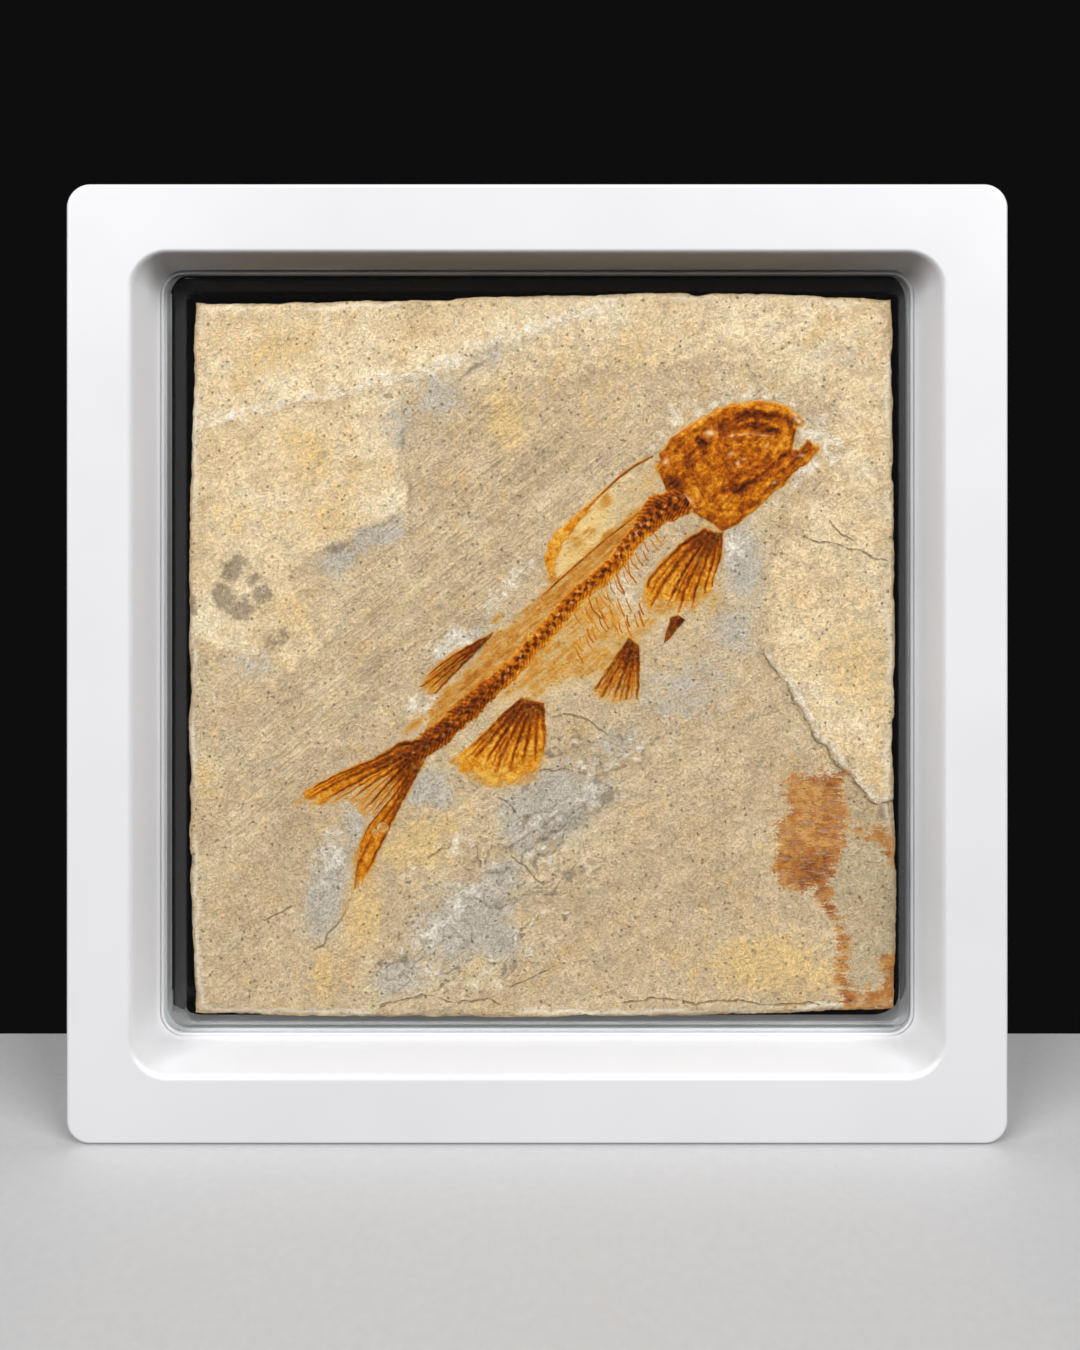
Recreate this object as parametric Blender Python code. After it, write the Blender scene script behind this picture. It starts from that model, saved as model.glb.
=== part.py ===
"""A fossil fish in a square limestone slab, held between two clear films in a white display frame.

The frame stands upright on its bottom edge. The origin is the middle of that edge's footprint,
+Z is up, and the fish's side of the slab faces -Y. Lengths are in metres; outlines on the slab
are in millimetres from the frame's middle, x to the right and z upwards.
"""

import math

import bmesh
import bpy
from mathutils import Vector, noise

MM = 0.001

# Frame: two moulded halves that meet at y = 0.
FRAME_HALF_W = 100.0 * MM
FRAME_HALF_H = 102.0 * MM
HALF_DEPTH = 12.5 * MM
OUTER_RADIUS = 5.0 * MM
OUTER_ROUND = 0.9 * MM
PARTING_BEVEL = 0.4 * MM
OPENING_HALF_W = 87.05 * MM
OPENING_HALF_H = 88.3 * MM
OPENING_RADIUS = 8.6 * MM
OPENING_ROUND_RUN = 1.1 * MM
OPENING_ROUND_DEPTH = 1.5 * MM
SLOPE_FOOT_RUN = 3.05 * MM
GROOVE_WIDTH = 0.3 * MM
LIP_WIDTH = 0.6 * MM
LIP_FRONT = 1.4 * MM
GROOVE_FLOOR = 1.05 * MM

# Films: each one is clamped by its rim in its own half and stretched over the slab.
GAP = 0.3 * MM
FILM = 0.4 * MM
FILM_RIM_OVERLAP = 4.6 * MM
FILM_RADIUS = 2.5 * MM

# Slab
SLAB_MIDDLE_X = 1.15
SLAB_MIDDLE_Z = 0.1
SLAB_HALF_W = 77.95
SLAB_HALF_H = 79.9
SLAB_FACE = 4.3 * MM
SLAB_REACH = 5.0 * MM
GRID_CELLS = 24
RIM_WIDTH = 1.1 * MM
SIDE_CUTS = 3
WAVE = 0.16 * MM
WAVE_LENGTH = 26 * MM
SIDE_ROUGH = 0.45 * MM
SIDE_ROUGH_LENGTH = 6 * MM
SIDE_INWARD_SHARE = 0.6
CHIP_LENGTH = 11 * MM
CHIP_LEAST = 0.35 * MM
CHIP_MOST = 1.2 * MM

SLAB_TOP = [(-75.2, 77.7), (-44, 78.0), (-22, 78.8), (15, 79.5), (25, 80.0), (52, 79.7), (78.2, 78.5)]
SLAB_RIGHT = [(78.4, -77.6), (79.1, -57), (79.0, -42), (78.3, -32), (78.8, 0), (78.4, 36), (78.2, 78.5)]
SLAB_BOTTOM = [(-75.2, -78.6), (-63, -79.0), (-41, -79.4), (-18, -79.8), (31, -79.3), (78.4, -77.6)]
SLAB_LEFT = [
    (-75.2, -78.6), (-75.8, -64), (-76.6, -45), (-76.8, -4), (-76.5, 30), (-76.0, 62), (-75.2, 77.7),
]

# Raised layer of stone at the right edge, ending in a broken ledge, and a low ridge at top left.
LEDGE_OUTLINE = [
    (49.0, -0.6), (51.4, -4.6), (53.8, -8.9), (56.4, -12.6), (58.1, -15.2), (61.5, -18.6), (65.0, -22.5),
    (68.6, -25.7), (71.0, -29.5), (73.4, -31.8), (75.6, -33.0), (78.2, -31.4), (78.4, -13.0), (66.0, -3.0),
    (56.0, 3.0),
]
LEDGE_HEIGHT = 0.55 * MM
LEDGE_TILT = math.radians(3.4)
LEDGE_HINGE = 5
RIDGE_LINE = [(-72, 49.6), (-58, 53.7), (-36, 58.7), (-22, 62.4), (-11, 67.5), (3, 72.0)]
RIDGE_LINE_RADIUS = 2.4 * MM
RIDGE_LINE_SINK = 2.2 * MM
LEDGE_EDGE = 0.2 * MM
PLATE_ROOT = 1.2 * MM
PIT_RAISE = 0.35
PITS = [(-24, -67.2, 0.7), (52, 12, 0.8), (-66, 15, 1.6), (-60, 11, 1.3), (30, -62, 0.9), (-45, 60, 0.9)]

# Fish, in relief on the same stone: the head points to the upper right and the tail to the lower left.
SKULL_OUTLINE = [
    (26.2, 40.5), (28.1, 46.7), (31.7, 49.5), (36.5, 52.0), (40.7, 54.5), (44.9, 55.8), (49.1, 56.1),
    (53.2, 55.4), (56.1, 53.7), (58.4, 52.0), (56.1, 48.6), (59.5, 47.5), (61.7, 45.9), (58.9, 42.3),
    (54.7, 38.3), (49.4, 34.1), (44.9, 30.5), (41.0, 28.0), (36.5, 30.5), (31.7, 33.8),
]
SKULL_HEIGHT = 0.42 * MM
SKULL_EDGE = 0.3 * MM
SKULL_RIDGE_SINK = 0.28 * MM
SKULL_RIDGE_TIP = 0.8
SKULL_RIDGES = [
    [
        (40.4, 51.7), (46.0, 53.4), (50.5, 53.8), (54.6, 51.6), (55.8, 48.6), (55.2, 45.3), (51.9, 43.6),
        (48.6, 42.6),
    ],
    [(33.5, 42.6), (34.3, 39.6), (35.6, 37.2), (38.2, 33.6)],
    [(58.8, 46.8), (55.0, 43.0), (50.2, 38.6), (45.2, 34.0), (41.6, 30.4)],
    [(29.4, 46.0), (33.4, 48.4), (38.0, 50.4)],
]
SPINE = [
    (31.1, 33.9), (26.5, 32.0), (22.8, 28.1), (19.9, 24.7), (16.8, 20.5), (12.7, 16.9), (8.3, 13.5),
    (5.0, 9.6), (1.8, 5.8), (-2.0, 2.1), (-4.9, -1.6), (-7.9, -4.6), (-11.5, -7.8), (-14.6, -10.9),
    (-18.0, -14.1), (-22.2, -17.8), (-26.2, -20.6),
]
SPINE_RADIUS = 1.30 * MM
SPINE_SINK = 0.80 * MM
SPINE_TAIL_SHARE = 0.82
VERTEBRA_PITCH = 2.1
BEAD_SWELL = 0.14
BEAD_WAIST = 0.06

# Each fin is a list of rays from its root to its tip.
TAIL_FIN = [
    [(-25.9, -19.2), (-34.0, -21.9), (-43.0, -25.9), (-50.6, -29.9), (-52.8, -32.6)],
    [(-26.2, -20.0), (-34.0, -23.4), (-42.0, -27.4), (-50.4, -32.0)],
    [(-26.6, -20.7), (-33.5, -24.6), (-41.0, -29.2), (-46.0, -32.4)],
    [(-26.8, -21.4), (-32.4, -26.4), (-39.6, -32.9)],
    [(-26.8, -22.0), (-31.0, -28.2), (-36.0, -34.0)],
    [(-26.6, -22.4), (-30.8, -29.6), (-36.6, -36.6), (-39.6, -41.6)],
    [(-26.2, -22.6), (-30.4, -30.6), (-36.0, -38.6), (-39.8, -46.0), (-40.0, -51.0)],
    [(-25.6, -22.6), (-29.4, -30.4), (-34.0, -39.0), (-37.6, -46.0), (-39.2, -50.0)],
]
PECTORAL_FIN = [
    [(37.4, 27.8), (32.0, 24.0), (26.6, 18.2), (23.4, 12.6)],
    [(37.9, 27.4), (33.0, 22.0), (28.6, 15.6), (25.8, 10.2)],
    [(38.4, 27.2), (34.6, 21.2), (31.0, 14.6), (29.2, 9.8)],
    [(38.9, 27.0), (36.0, 20.6), (33.6, 14.0), (32.4, 9.8)],
    [(39.5, 27.0), (37.6, 20.4), (36.2, 15.0), (35.4, 10.8)],
    [(40.2, 27.2), (39.6, 21.6), (38.6, 16.4), (37.8, 13.6)],
]
PELVIC_FIN = [
    [(20.8, 3.6), (16.4, -2.4), (12.2, -8.0)],
    [(21.1, 3.2), (17.8, -3.4), (14.4, -8.8)],
    [(21.4, 2.8), (19.4, -4.0), (17.2, -9.6)],
    [(21.7, 2.4), (21.0, -4.0), (20.8, -9.8)],
]
ANAL_FIN = [
    [(-2.5, -8.9), (-8.4, -14.4), (-12.4, -19.2), (-16.2, -22.8)],
    [(-2.0, -9.2), (-6.4, -15.2), (-10.0, -20.6), (-13.6, -25.0)],
    [(-1.5, -9.5), (-4.6, -16.0), (-7.4, -21.6), (-10.0, -27.6)],
    [(-0.9, -9.7), (-2.8, -16.2), (-4.6, -22.0), (-6.0, -28.0)],
    [(-0.3, -9.8), (-1.0, -16.4), (-1.6, -22.4), (-2.4, -27.4)],
    [(0.5, -10.0), (0.7, -16.2), (0.4, -22.0), (-0.2, -26.0)],
]
REAR_DORSAL_FIN = [
    [(-10.2, 4.6), (-16.4, 1.0), (-21.8, -2.4), (-25.0, -5.8)],
    [(-10.8, 3.8), (-17.0, -1.0), (-22.8, -5.8), (-25.2, -7.4)],
    [(-11.6, 3.0), (-17.2, -2.4), (-22.6, -8.0)],
]
FRONT_DORSAL_FIN = [
    [(17.3, 38.5), (12.7, 34.6), (7.4, 28.4), (3.2, 24.7), (2.2, 21.6), (2.6, 17.4)],
    [(22.6, 33.0), (13.6, 25.0), (4.9, 17.2)],
    [(16.6, 36.4), (11.0, 30.4), (6.6, 24.6), (4.2, 20.4)],
]
RIBS = [
    [(13.2, 15.8), (12.8, 10.6), (15.3, 1.2)],
    [(16.6, 19.0), (16.4, 11.6), (19.2, 3.0)],
    [(19.8, 23.2), (20.4, 16.8), (22.8, 9.8)],
    [(9.4, 13.2), (8.8, 8.0), (10.4, 2.6)],
    [(5.6, 9.2), (4.8, 4.4), (5.6, -0.6)],
]
RAY_RADIUS = 0.42 * MM
RAY_SINK = 0.05 * MM
RIDGE_RADIUS = 0.55 * MM
TIP_SHARE = 0.35

CORNER_STEPS = 6
ROUND_STEPS = 3

OBJECT_COLLECTION = "fossil_fish_slab"
RAISED_COLLECTION = "raised_forms"
CUTTER_COLLECTION = "pit_cutters"

# Materials of the slab, by slot: name, then colour and roughness.
SLAB_MATERIALS = {"cream limestone": ("D6C29A", 0.85), "fossil bone": ("8A4A18", 0.5)}
STONE_SLOT, BONE_SLOT = 0, 1


def clear_scene():
    for obj in list(bpy.data.objects):
        bpy.data.objects.remove(obj, do_unlink=True)


def new_collection(name):
    collection = bpy.data.collections.new(name)
    bpy.context.scene.collection.children.link(collection)
    return collection


def srgb_to_linear(value):
    return value / 12.92 if value <= 0.04045 else ((value + 0.055) / 1.055) ** 2.4


def make_material(name, hex_colour, roughness, alpha=1.0):
    material = bpy.data.materials.new(name)
    material.use_nodes = True
    channels = [srgb_to_linear(int(hex_colour[i : i + 2], 16) / 255) for i in (0, 2, 4)]
    shader = material.node_tree.nodes["Principled BSDF"]
    shader.inputs["Base Color"].default_value = (*channels, 1.0)
    shader.inputs["Roughness"].default_value = roughness
    shader.inputs["Metallic"].default_value = 0.0
    shader.inputs["Alpha"].default_value = alpha
    material.diffuse_color = (*channels, alpha)
    return material


def add_object(name, bm, materials, collection):
    """Link the mesh as a new object with its faces pointing outwards."""
    bmesh.ops.recalc_face_normals(bm, faces=bm.faces)
    mesh = bpy.data.meshes.new(name)
    bm.to_mesh(mesh)
    bm.free()
    for material in materials:
        mesh.materials.append(material)
    obj = bpy.data.objects.new(name, mesh)
    collection.objects.link(obj)
    return obj


def rounded_outline(half_w, half_h, radius, y, middle_x=0.0, middle_z=0.0):
    """Points of a rounded rectangle in the plane y, round the frame's middle."""
    points = []
    for corner, (side_x, side_z) in enumerate(((1, -1), (1, 1), (-1, 1), (-1, -1))):
        for step in range(CORNER_STEPS + 1):
            angle = math.radians(90 * (corner - 1 + step / CORNER_STEPS))
            x = middle_x + side_x * (half_w - radius) + radius * math.cos(angle)
            z = middle_z + side_z * (half_h - radius) + radius * math.sin(angle)
            points.append((x, y, FRAME_HALF_H + z))
    return points


def loft(rings, closed):
    """Skin the rings in order. A closed loft joins the last to the first; an open one gets caps."""
    bm = bmesh.new()
    loops = [[bm.verts.new(point) for point in ring] for ring in rings]
    count = len(loops[0])
    pairs = list(zip(loops, loops[1:]))
    if closed:
        pairs.append((loops[-1], loops[0]))
    for first, second in pairs:
        for i in range(count):
            j = (i + 1) % count
            bm.faces.new((first[i], first[j], second[j], second[i]))
    if not closed:
        bm.faces.new(loops[0])
        bm.faces.new(loops[-1])
    return bm


def frame_half(name, side, materials, collection):
    """One moulded half. side is -1 for the front and +1 for the back."""
    slope_start_w = OPENING_HALF_W - OPENING_ROUND_RUN
    slope_start_h = OPENING_HALF_H - OPENING_ROUND_RUN
    foot_w = OPENING_HALF_W - SLOPE_FOOT_RUN
    foot_h = OPENING_HALF_H - SLOPE_FOOT_RUN
    foot_radius = OPENING_RADIUS - SLOPE_FOOT_RUN
    rings = [
        (PARTING_BEVEL, GAP / 2),
        (0.0, GAP / 2 + PARTING_BEVEL),
        (0.0, HALF_DEPTH - OUTER_ROUND),
    ]
    for step in range(1, ROUND_STEPS + 1):
        angle = math.radians(90 * step / ROUND_STEPS)
        rings.append((OUTER_ROUND * (1 - math.cos(angle)), HALF_DEPTH - OUTER_ROUND * (1 - math.sin(angle))))
    outlines = [
        rounded_outline(FRAME_HALF_W - inset, FRAME_HALF_H - inset, OUTER_RADIUS - inset, side * depth)
        for inset, depth in rings
    ]
    for step in range(ROUND_STEPS + 1):
        angle = math.radians(90 * step / ROUND_STEPS)
        run = OPENING_ROUND_RUN * math.sin(angle)
        depth = HALF_DEPTH - OPENING_ROUND_DEPTH * (1 - math.cos(angle))
        half_w, half_h = slope_start_w + OPENING_ROUND_RUN - run, slope_start_h + OPENING_ROUND_RUN - run
        outlines.append(rounded_outline(half_w, half_h, OPENING_RADIUS - run, side * depth))
    rim_back = GAP / 2 + FILM + GAP
    lip_w, lip_h = foot_w - GROOVE_WIDTH - LIP_WIDTH, foot_h - GROOVE_WIDTH - LIP_WIDTH
    lip_radius = foot_radius - GROOVE_WIDTH - LIP_WIDTH
    rebate = FILM_RIM_OVERLAP + GAP
    groove = ((0.0, LIP_FRONT), (0.0, GROOVE_FLOOR), (GROOVE_WIDTH, GROOVE_FLOOR), (GROOVE_WIDTH, LIP_FRONT))
    for inset, depth in groove:
        outlines.append(rounded_outline(foot_w - inset, foot_h - inset, foot_radius - inset, side * depth))
    outlines.append(rounded_outline(lip_w, lip_h, lip_radius, side * LIP_FRONT))
    outlines.append(rounded_outline(lip_w, lip_h, lip_radius, side * rim_back))
    outlines.append(rounded_outline(lip_w + rebate, lip_h + rebate, lip_radius + rebate, side * rim_back))
    outlines.append(rounded_outline(lip_w + rebate, lip_h + rebate, lip_radius + rebate, side * GAP / 2))
    return add_object(name, loft(outlines, closed=True), materials, collection)


def film(name, side, materials, collection):
    """A thin closed sheet: flat rim in the frame, slanted walls, and a flat top over the slab."""
    lip_w = OPENING_HALF_W - SLOPE_FOOT_RUN - GROOVE_WIDTH - LIP_WIDTH
    lip_h = OPENING_HALF_H - SLOPE_FOOT_RUN - GROOVE_WIDTH - LIP_WIDTH
    lip_radius = OPENING_RADIUS - SLOPE_FOOT_RUN - GROOVE_WIDTH - LIP_WIDTH
    top_w, top_h = SLAB_HALF_W * MM + GAP, SLAB_HALF_H * MM + GAP
    middle_x, middle_z = SLAB_MIDDLE_X * MM, SLAB_MIDDLE_Z * MM
    inner_top, outer_top = SLAB_REACH + GAP, SLAB_REACH + GAP + FILM
    inner_rim, outer_rim = GAP / 2, GAP / 2 + FILM
    bend_w, bend_h = lip_w - GAP / 2, lip_h - GAP / 2
    rim_w, rim_h = lip_w + FILM_RIM_OVERLAP, lip_h + FILM_RIM_OVERLAP
    rim_radius = lip_radius + FILM_RIM_OVERLAP
    rings = [
        rounded_outline(
            top_w + FILM, top_h + FILM, FILM_RADIUS + FILM, side * outer_top, middle_x, middle_z
        ),
        rounded_outline(bend_w, bend_h, lip_radius, side * outer_rim),
        rounded_outline(rim_w, rim_h, rim_radius, side * outer_rim),
        rounded_outline(rim_w, rim_h, rim_radius, side * inner_rim),
        rounded_outline(bend_w - FILM, bend_h - FILM, lip_radius, side * inner_rim),
        rounded_outline(top_w, top_h, FILM_RADIUS, side * inner_top, middle_x, middle_z),
    ]
    return add_object(name, loft(rings, closed=False), materials, collection)


def along(points, share):
    """The point at a share of the way along a polyline."""
    lengths = [math.dist(a, b) for a, b in zip(points, points[1:])]
    left = share * sum(lengths)
    for (a, b), length in zip(zip(points, points[1:]), lengths):
        if left <= length:
            part = left / length
            return (a[0] + (b[0] - a[0]) * part, a[1] + (b[1] - a[1]) * part)
        left -= length
    return points[-1]


def blend_edges(u, v):
    """A point of the slab's face, blended from its four edges. u runs right and v runs up."""
    left, right = along(SLAB_LEFT, v), along(SLAB_RIGHT, v)
    bottom, top = along(SLAB_BOTTOM, u), along(SLAB_TOP, u)
    corners = (SLAB_BOTTOM[0], SLAB_BOTTOM[-1], SLAB_TOP[0], SLAB_TOP[-1])
    weights = ((1 - u) * (1 - v), u * (1 - v), (1 - u) * v, u * v)
    point = []
    for axis in range(2):
        corner_part = sum(corner[axis] * weight for corner, weight in zip(corners, weights))
        sides = left[axis] * (1 - u) + right[axis] * u + bottom[axis] * (1 - v) + top[axis] * v
        point.append(sides - corner_part)
    return point


def on_face(x, z, y):
    """A point given in millimetres from the frame's middle, at a depth in metres."""
    return Vector((x * MM, y, FRAME_HALF_H + z * MM))


def slab_body(name, materials, collection):
    """A grid fitted to the slab's outline, extruded back, with chipped rims and rough sides."""
    bm = bmesh.new()
    bmesh.ops.create_grid(bm, x_segments=GRID_CELLS, y_segments=GRID_CELLS, size=0.5)
    for vert in bm.verts:
        x, z = blend_edges(vert.co.x + 0.5, vert.co.y + 0.5)
        vert.co = on_face(x, z, -SLAB_FACE)
    bmesh.ops.inset_region(bm, faces=bm.faces, thickness=RIM_WIDTH, use_even_offset=True, use_boundary=True)
    made = bmesh.ops.extrude_face_region(bm, geom=bm.faces, use_keep_orig=True)
    back = [item for item in made["geom"] if isinstance(item, bmesh.types.BMVert)]
    for vert in back:
        vert.co.y = SLAB_FACE
    sides = [edge for edge in bm.edges if abs(edge.verts[0].co.y - edge.verts[1].co.y) > SLAB_FACE]
    bmesh.ops.subdivide_edges(bm, edges=sides, cuts=SIDE_CUTS, use_grid_fill=True)
    middle = on_face(SLAB_MIDDLE_X, SLAB_MIDDLE_Z, 0.0)
    step = SLAB_FACE / (SIDE_CUTS + 1)
    across = [edge for edge in bm.edges if abs(edge.verts[0].co.y - edge.verts[1].co.y) > step]
    side_verts = {vert for edge in across for vert in edge.verts}
    for vert in bm.verts:
        place = vert.co.copy()
        if vert not in side_verts:
            vert.co.y += WAVE * noise.noise(place / WAVE_LENGTH)
        elif abs(place.y) > SLAB_FACE - step:
            chip = CHIP_LEAST + (CHIP_MOST - CHIP_LEAST) * abs(noise.noise(place / CHIP_LENGTH))
            vert.co.y = math.copysign(SLAB_FACE - chip, place.y)
        else:
            out_x, out_z = place.x - middle.x, place.z - middle.z
            rough = SIDE_ROUGH * (noise.noise(place / SIDE_ROUGH_LENGTH) - SIDE_INWARD_SHARE)
            if abs(out_x) > abs(out_z):
                vert.co.x += rough * math.copysign(1, out_x)
            else:
                vert.co.z += rough * math.copysign(1, out_z)
    return add_object(name, bm, materials, collection)


def mesh_from_curve(curve_object, collection, slot):
    """Replace a curve with its mesh, welded closed. Its faces take this material slot of the slab."""
    graph = bpy.context.evaluated_depsgraph_get()
    mesh = bpy.data.meshes.new_from_object(curve_object.evaluated_get(graph))
    bm = bmesh.new()
    bm.from_mesh(mesh)
    bmesh.ops.remove_doubles(bm, verts=bm.verts, dist=0.00001)
    bmesh.ops.recalc_face_normals(bm, faces=bm.faces)
    for face in bm.faces:
        face.material_index = slot
    bm.to_mesh(mesh)
    bm.free()
    for material in SLAB_MATERIALS:
        mesh.materials.append(bpy.data.materials[material])
    name, place, curve = curve_object.name, curve_object.matrix_world.copy(), curve_object.data
    bpy.data.objects.remove(curve_object, do_unlink=True)
    bpy.data.curves.remove(curve)
    solid = bpy.data.objects.new(name, mesh)
    solid.matrix_world = place
    collection.objects.link(solid)
    solid.hide_render = True
    solid.display_type = "WIRE"
    return solid


def bar(name, points, depth, radius, tip_share, collection, sides=0, beads=False, slot=BONE_SLOT):
    """A bar half sunk in the stone, thick at its root and fine at its tip."""
    curve = bpy.data.curves.new(name, "CURVE")
    curve.dimensions = "3D"
    curve.bevel_depth = 1.0
    curve.bevel_resolution = sides
    curve.use_fill_caps = True
    spline = curve.splines.new("POLY")
    spline.points.add(len(points) - 1)
    for index, (x, z) in enumerate(points):
        share = index / (len(points) - 1)
        swell = 1.0 + (BEAD_SWELL if index % 2 else -BEAD_WAIST) * beads
        spline.points[index].co = (*on_face(x, z, -depth), 1.0)
        spline.points[index].radius = radius * swell * (1 + (tip_share - 1) * share)
    obj = bpy.data.objects.new(name, curve)
    collection.objects.link(obj)
    bpy.context.view_layer.update()
    return mesh_from_curve(obj, collection, slot)


def plate(name, outline, height, edge, collection, slot):
    """A flat outline with bevelled edges, standing proud of the slab's face by its height."""
    curve = bpy.data.curves.new(name, "CURVE")
    curve.dimensions = "2D"
    curve.fill_mode = "BOTH"
    thickness = height + PLATE_ROOT
    curve.extrude = thickness / 2 - edge
    curve.bevel_depth = edge
    curve.bevel_resolution = 0
    curve.offset = -edge
    spline = curve.splines.new("POLY")
    spline.points.add(len(outline) - 1)
    spline.use_cyclic_u = True
    for point, (x, z) in zip(spline.points, outline):
        point.co = (x * MM, z * MM, 0.0, 1.0)
    obj = bpy.data.objects.new(name, curve)
    obj.rotation_euler = (math.radians(90), 0, 0)
    obj.location = (0, -SLAB_FACE - height + thickness / 2, FRAME_HALF_H)
    collection.objects.link(obj)
    bpy.context.view_layer.update()
    return mesh_from_curve(obj, collection, slot)


def resample(points, pitch):
    """Evenly spaced points along a polyline."""
    total = sum(math.dist(a, b) for a, b in zip(points, points[1:]))
    steps = round(total / pitch)
    return [along(points, step / steps) for step in range(steps + 1)]


def skeleton_forms(collection):
    """Every bone that stands out of the stone, as closed forms that are joined to it."""
    plate("skull", SKULL_OUTLINE, SKULL_HEIGHT, SKULL_EDGE, collection, BONE_SLOT)
    for index, line in enumerate(SKULL_RIDGES):
        depth = SLAB_FACE + SKULL_HEIGHT - SKULL_RIDGE_SINK
        bar(f"skull_ridge_{index}", line, depth, RIDGE_RADIUS, SKULL_RIDGE_TIP, collection)
    spine_points = resample(SPINE, VERTEBRA_PITCH / 2)
    spine_depth = SLAB_FACE - SPINE_SINK
    bar("backbone", spine_points, spine_depth, SPINE_RADIUS, SPINE_TAIL_SHARE, collection, sides=2, beads=True)
    fins = {
        "tail_ray": TAIL_FIN,
        "pectoral_ray": PECTORAL_FIN,
        "pelvic_ray": PELVIC_FIN,
        "anal_ray": ANAL_FIN,
        "rear_dorsal_ray": REAR_DORSAL_FIN,
        "front_dorsal_ray": FRONT_DORSAL_FIN,
        "rib": RIBS,
    }
    for name, rays in fins.items():
        for index, ray in enumerate(rays):
            bar(f"{name}_{index}", ray, SLAB_FACE - RAY_SINK, RAY_RADIUS, TIP_SHARE, collection)


def stone_forms(collection):
    """The broken layer at the right edge, tilted so that it sinks behind its ledge, and the low ridge."""
    ledge = plate("right_layer", LEDGE_OUTLINE, LEDGE_HEIGHT, LEDGE_EDGE, collection, STONE_SLOT)
    ledge.data.transform(ledge.matrix_world)
    ledge.matrix_world.identity()
    hinge = on_face(*LEDGE_OUTLINE[LEDGE_HINGE], -SLAB_FACE)
    away_from_ledge = Vector((1, 0, 1)).normalized()
    for vert in ledge.data.vertices:
        vert.co.y += (vert.co - hinge).dot(away_from_ledge) * math.tan(LEDGE_TILT)
    depth = SLAB_FACE - RIDGE_LINE_SINK
    bar("left_ridge", RIDGE_LINE, depth, RIDGE_LINE_RADIUS, 1.0, collection, sides=2, slot=STONE_SLOT)


def pit_cutters(collection):
    """Small blunt pits in the face."""
    for index, (x, z, radius) in enumerate(PITS):
        bm = bmesh.new()
        bmesh.ops.create_icosphere(bm, subdivisions=1, radius=radius * MM)
        mesh = bpy.data.meshes.new(f"pit_{index}")
        bm.to_mesh(mesh)
        bm.free()
        pit = bpy.data.objects.new(f"pit_{index}", mesh)
        pit.location = on_face(x, z, -SLAB_FACE - PIT_RAISE * radius * MM)
        pit.hide_render = True
        pit.display_type = "WIRE"
        collection.objects.link(pit)


def combine(slab, forms, operation):
    """Cut or join a whole collection of forms at once. The exact solver leaves open edges here."""
    modifier = slab.modifiers.new(forms.name, "BOOLEAN")
    modifier.operation = operation
    modifier.solver = "MANIFOLD"
    modifier.operand_type = "COLLECTION"
    modifier.collection = forms


def main():
    clear_scene()
    parts = new_collection(OBJECT_COLLECTION)
    raised = new_collection(RAISED_COLLECTION)
    cutters = new_collection(CUTTER_COLLECTION)
    white_plastic = make_material("white moulded plastic", "F1F1F3", 0.32)
    clear_film = make_material("clear elastic film", "F4F6F6", 0.08, alpha=0.15)
    slab_materials = [make_material(name, *finish) for name, finish in SLAB_MATERIALS.items()]
    frame_half("front_frame", -1, [white_plastic], parts)
    frame_half("back_frame", 1, [white_plastic], parts)
    film("front_film", -1, [clear_film], parts)
    film("back_film", 1, [clear_film], parts)
    slab = slab_body("fossil_slab", slab_materials, parts)
    pit_cutters(cutters)
    stone_forms(raised)
    skeleton_forms(raised)
    combine(slab, cutters, "DIFFERENCE")
    combine(slab, raised, "UNION")


main()
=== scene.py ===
"""A fossil fish in a square limestone slab, held between two clear films in a white display frame.

Lengths are in metres, apart from the outlines and lines on the slab, which are in millimetres from
the frame's middle, x to the right and z upwards. The fish's side of the slab faces -Y.
"""

import functools
import math

import bmesh
import bpy
import numpy as np
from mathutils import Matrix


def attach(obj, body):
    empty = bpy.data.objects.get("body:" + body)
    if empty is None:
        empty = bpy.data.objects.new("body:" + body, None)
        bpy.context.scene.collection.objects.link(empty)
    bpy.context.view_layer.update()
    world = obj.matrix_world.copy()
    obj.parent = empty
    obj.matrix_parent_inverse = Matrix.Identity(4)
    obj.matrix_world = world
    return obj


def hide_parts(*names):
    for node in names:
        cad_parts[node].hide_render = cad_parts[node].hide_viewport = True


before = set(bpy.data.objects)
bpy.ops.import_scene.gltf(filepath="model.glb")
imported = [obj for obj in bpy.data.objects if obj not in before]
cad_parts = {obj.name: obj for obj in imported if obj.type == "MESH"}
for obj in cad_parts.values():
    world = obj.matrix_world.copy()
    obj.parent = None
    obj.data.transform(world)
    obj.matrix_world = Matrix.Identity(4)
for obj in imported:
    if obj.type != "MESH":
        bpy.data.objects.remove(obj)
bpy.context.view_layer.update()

MM = 0.001

# Frame: two moulded halves that meet at y = 0.
FRAME_HALF_W = 100.0 * MM
FRAME_HALF_H = 102.0 * MM
HALF_DEPTH = 12.5 * MM
OUTER_RADIUS = 5.0 * MM
OUTER_ROUND = 0.9 * MM
PARTING_BEVEL = 0.4 * MM
OPENING_HALF_W = 87.05 * MM
OPENING_HALF_H = 88.3 * MM
OPENING_RADIUS = 8.6 * MM
OPENING_ROUND_RUN = 1.1 * MM
OPENING_ROUND_DEPTH = 1.5 * MM
SLOPE_FOOT_RUN = 3.05 * MM
GROOVE_WIDTH = 0.4 * MM
GROOVE_FLOOR = 0.8 * MM
LIP_WIDTH = 0.5 * MM
LIP_FRONT = 1.4 * MM
LIP_ROUND = 0.12 * MM
GAP = 0.3 * MM  # air left between neighbouring pieces
LIP_RUN = SLOPE_FOOT_RUN + GROOVE_WIDTH + LIP_WIDTH  # from the opening's front edge to inside the lip
FILM_SPACE = 0.4 * MM  # depth left behind the lip for the film's rim
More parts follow.
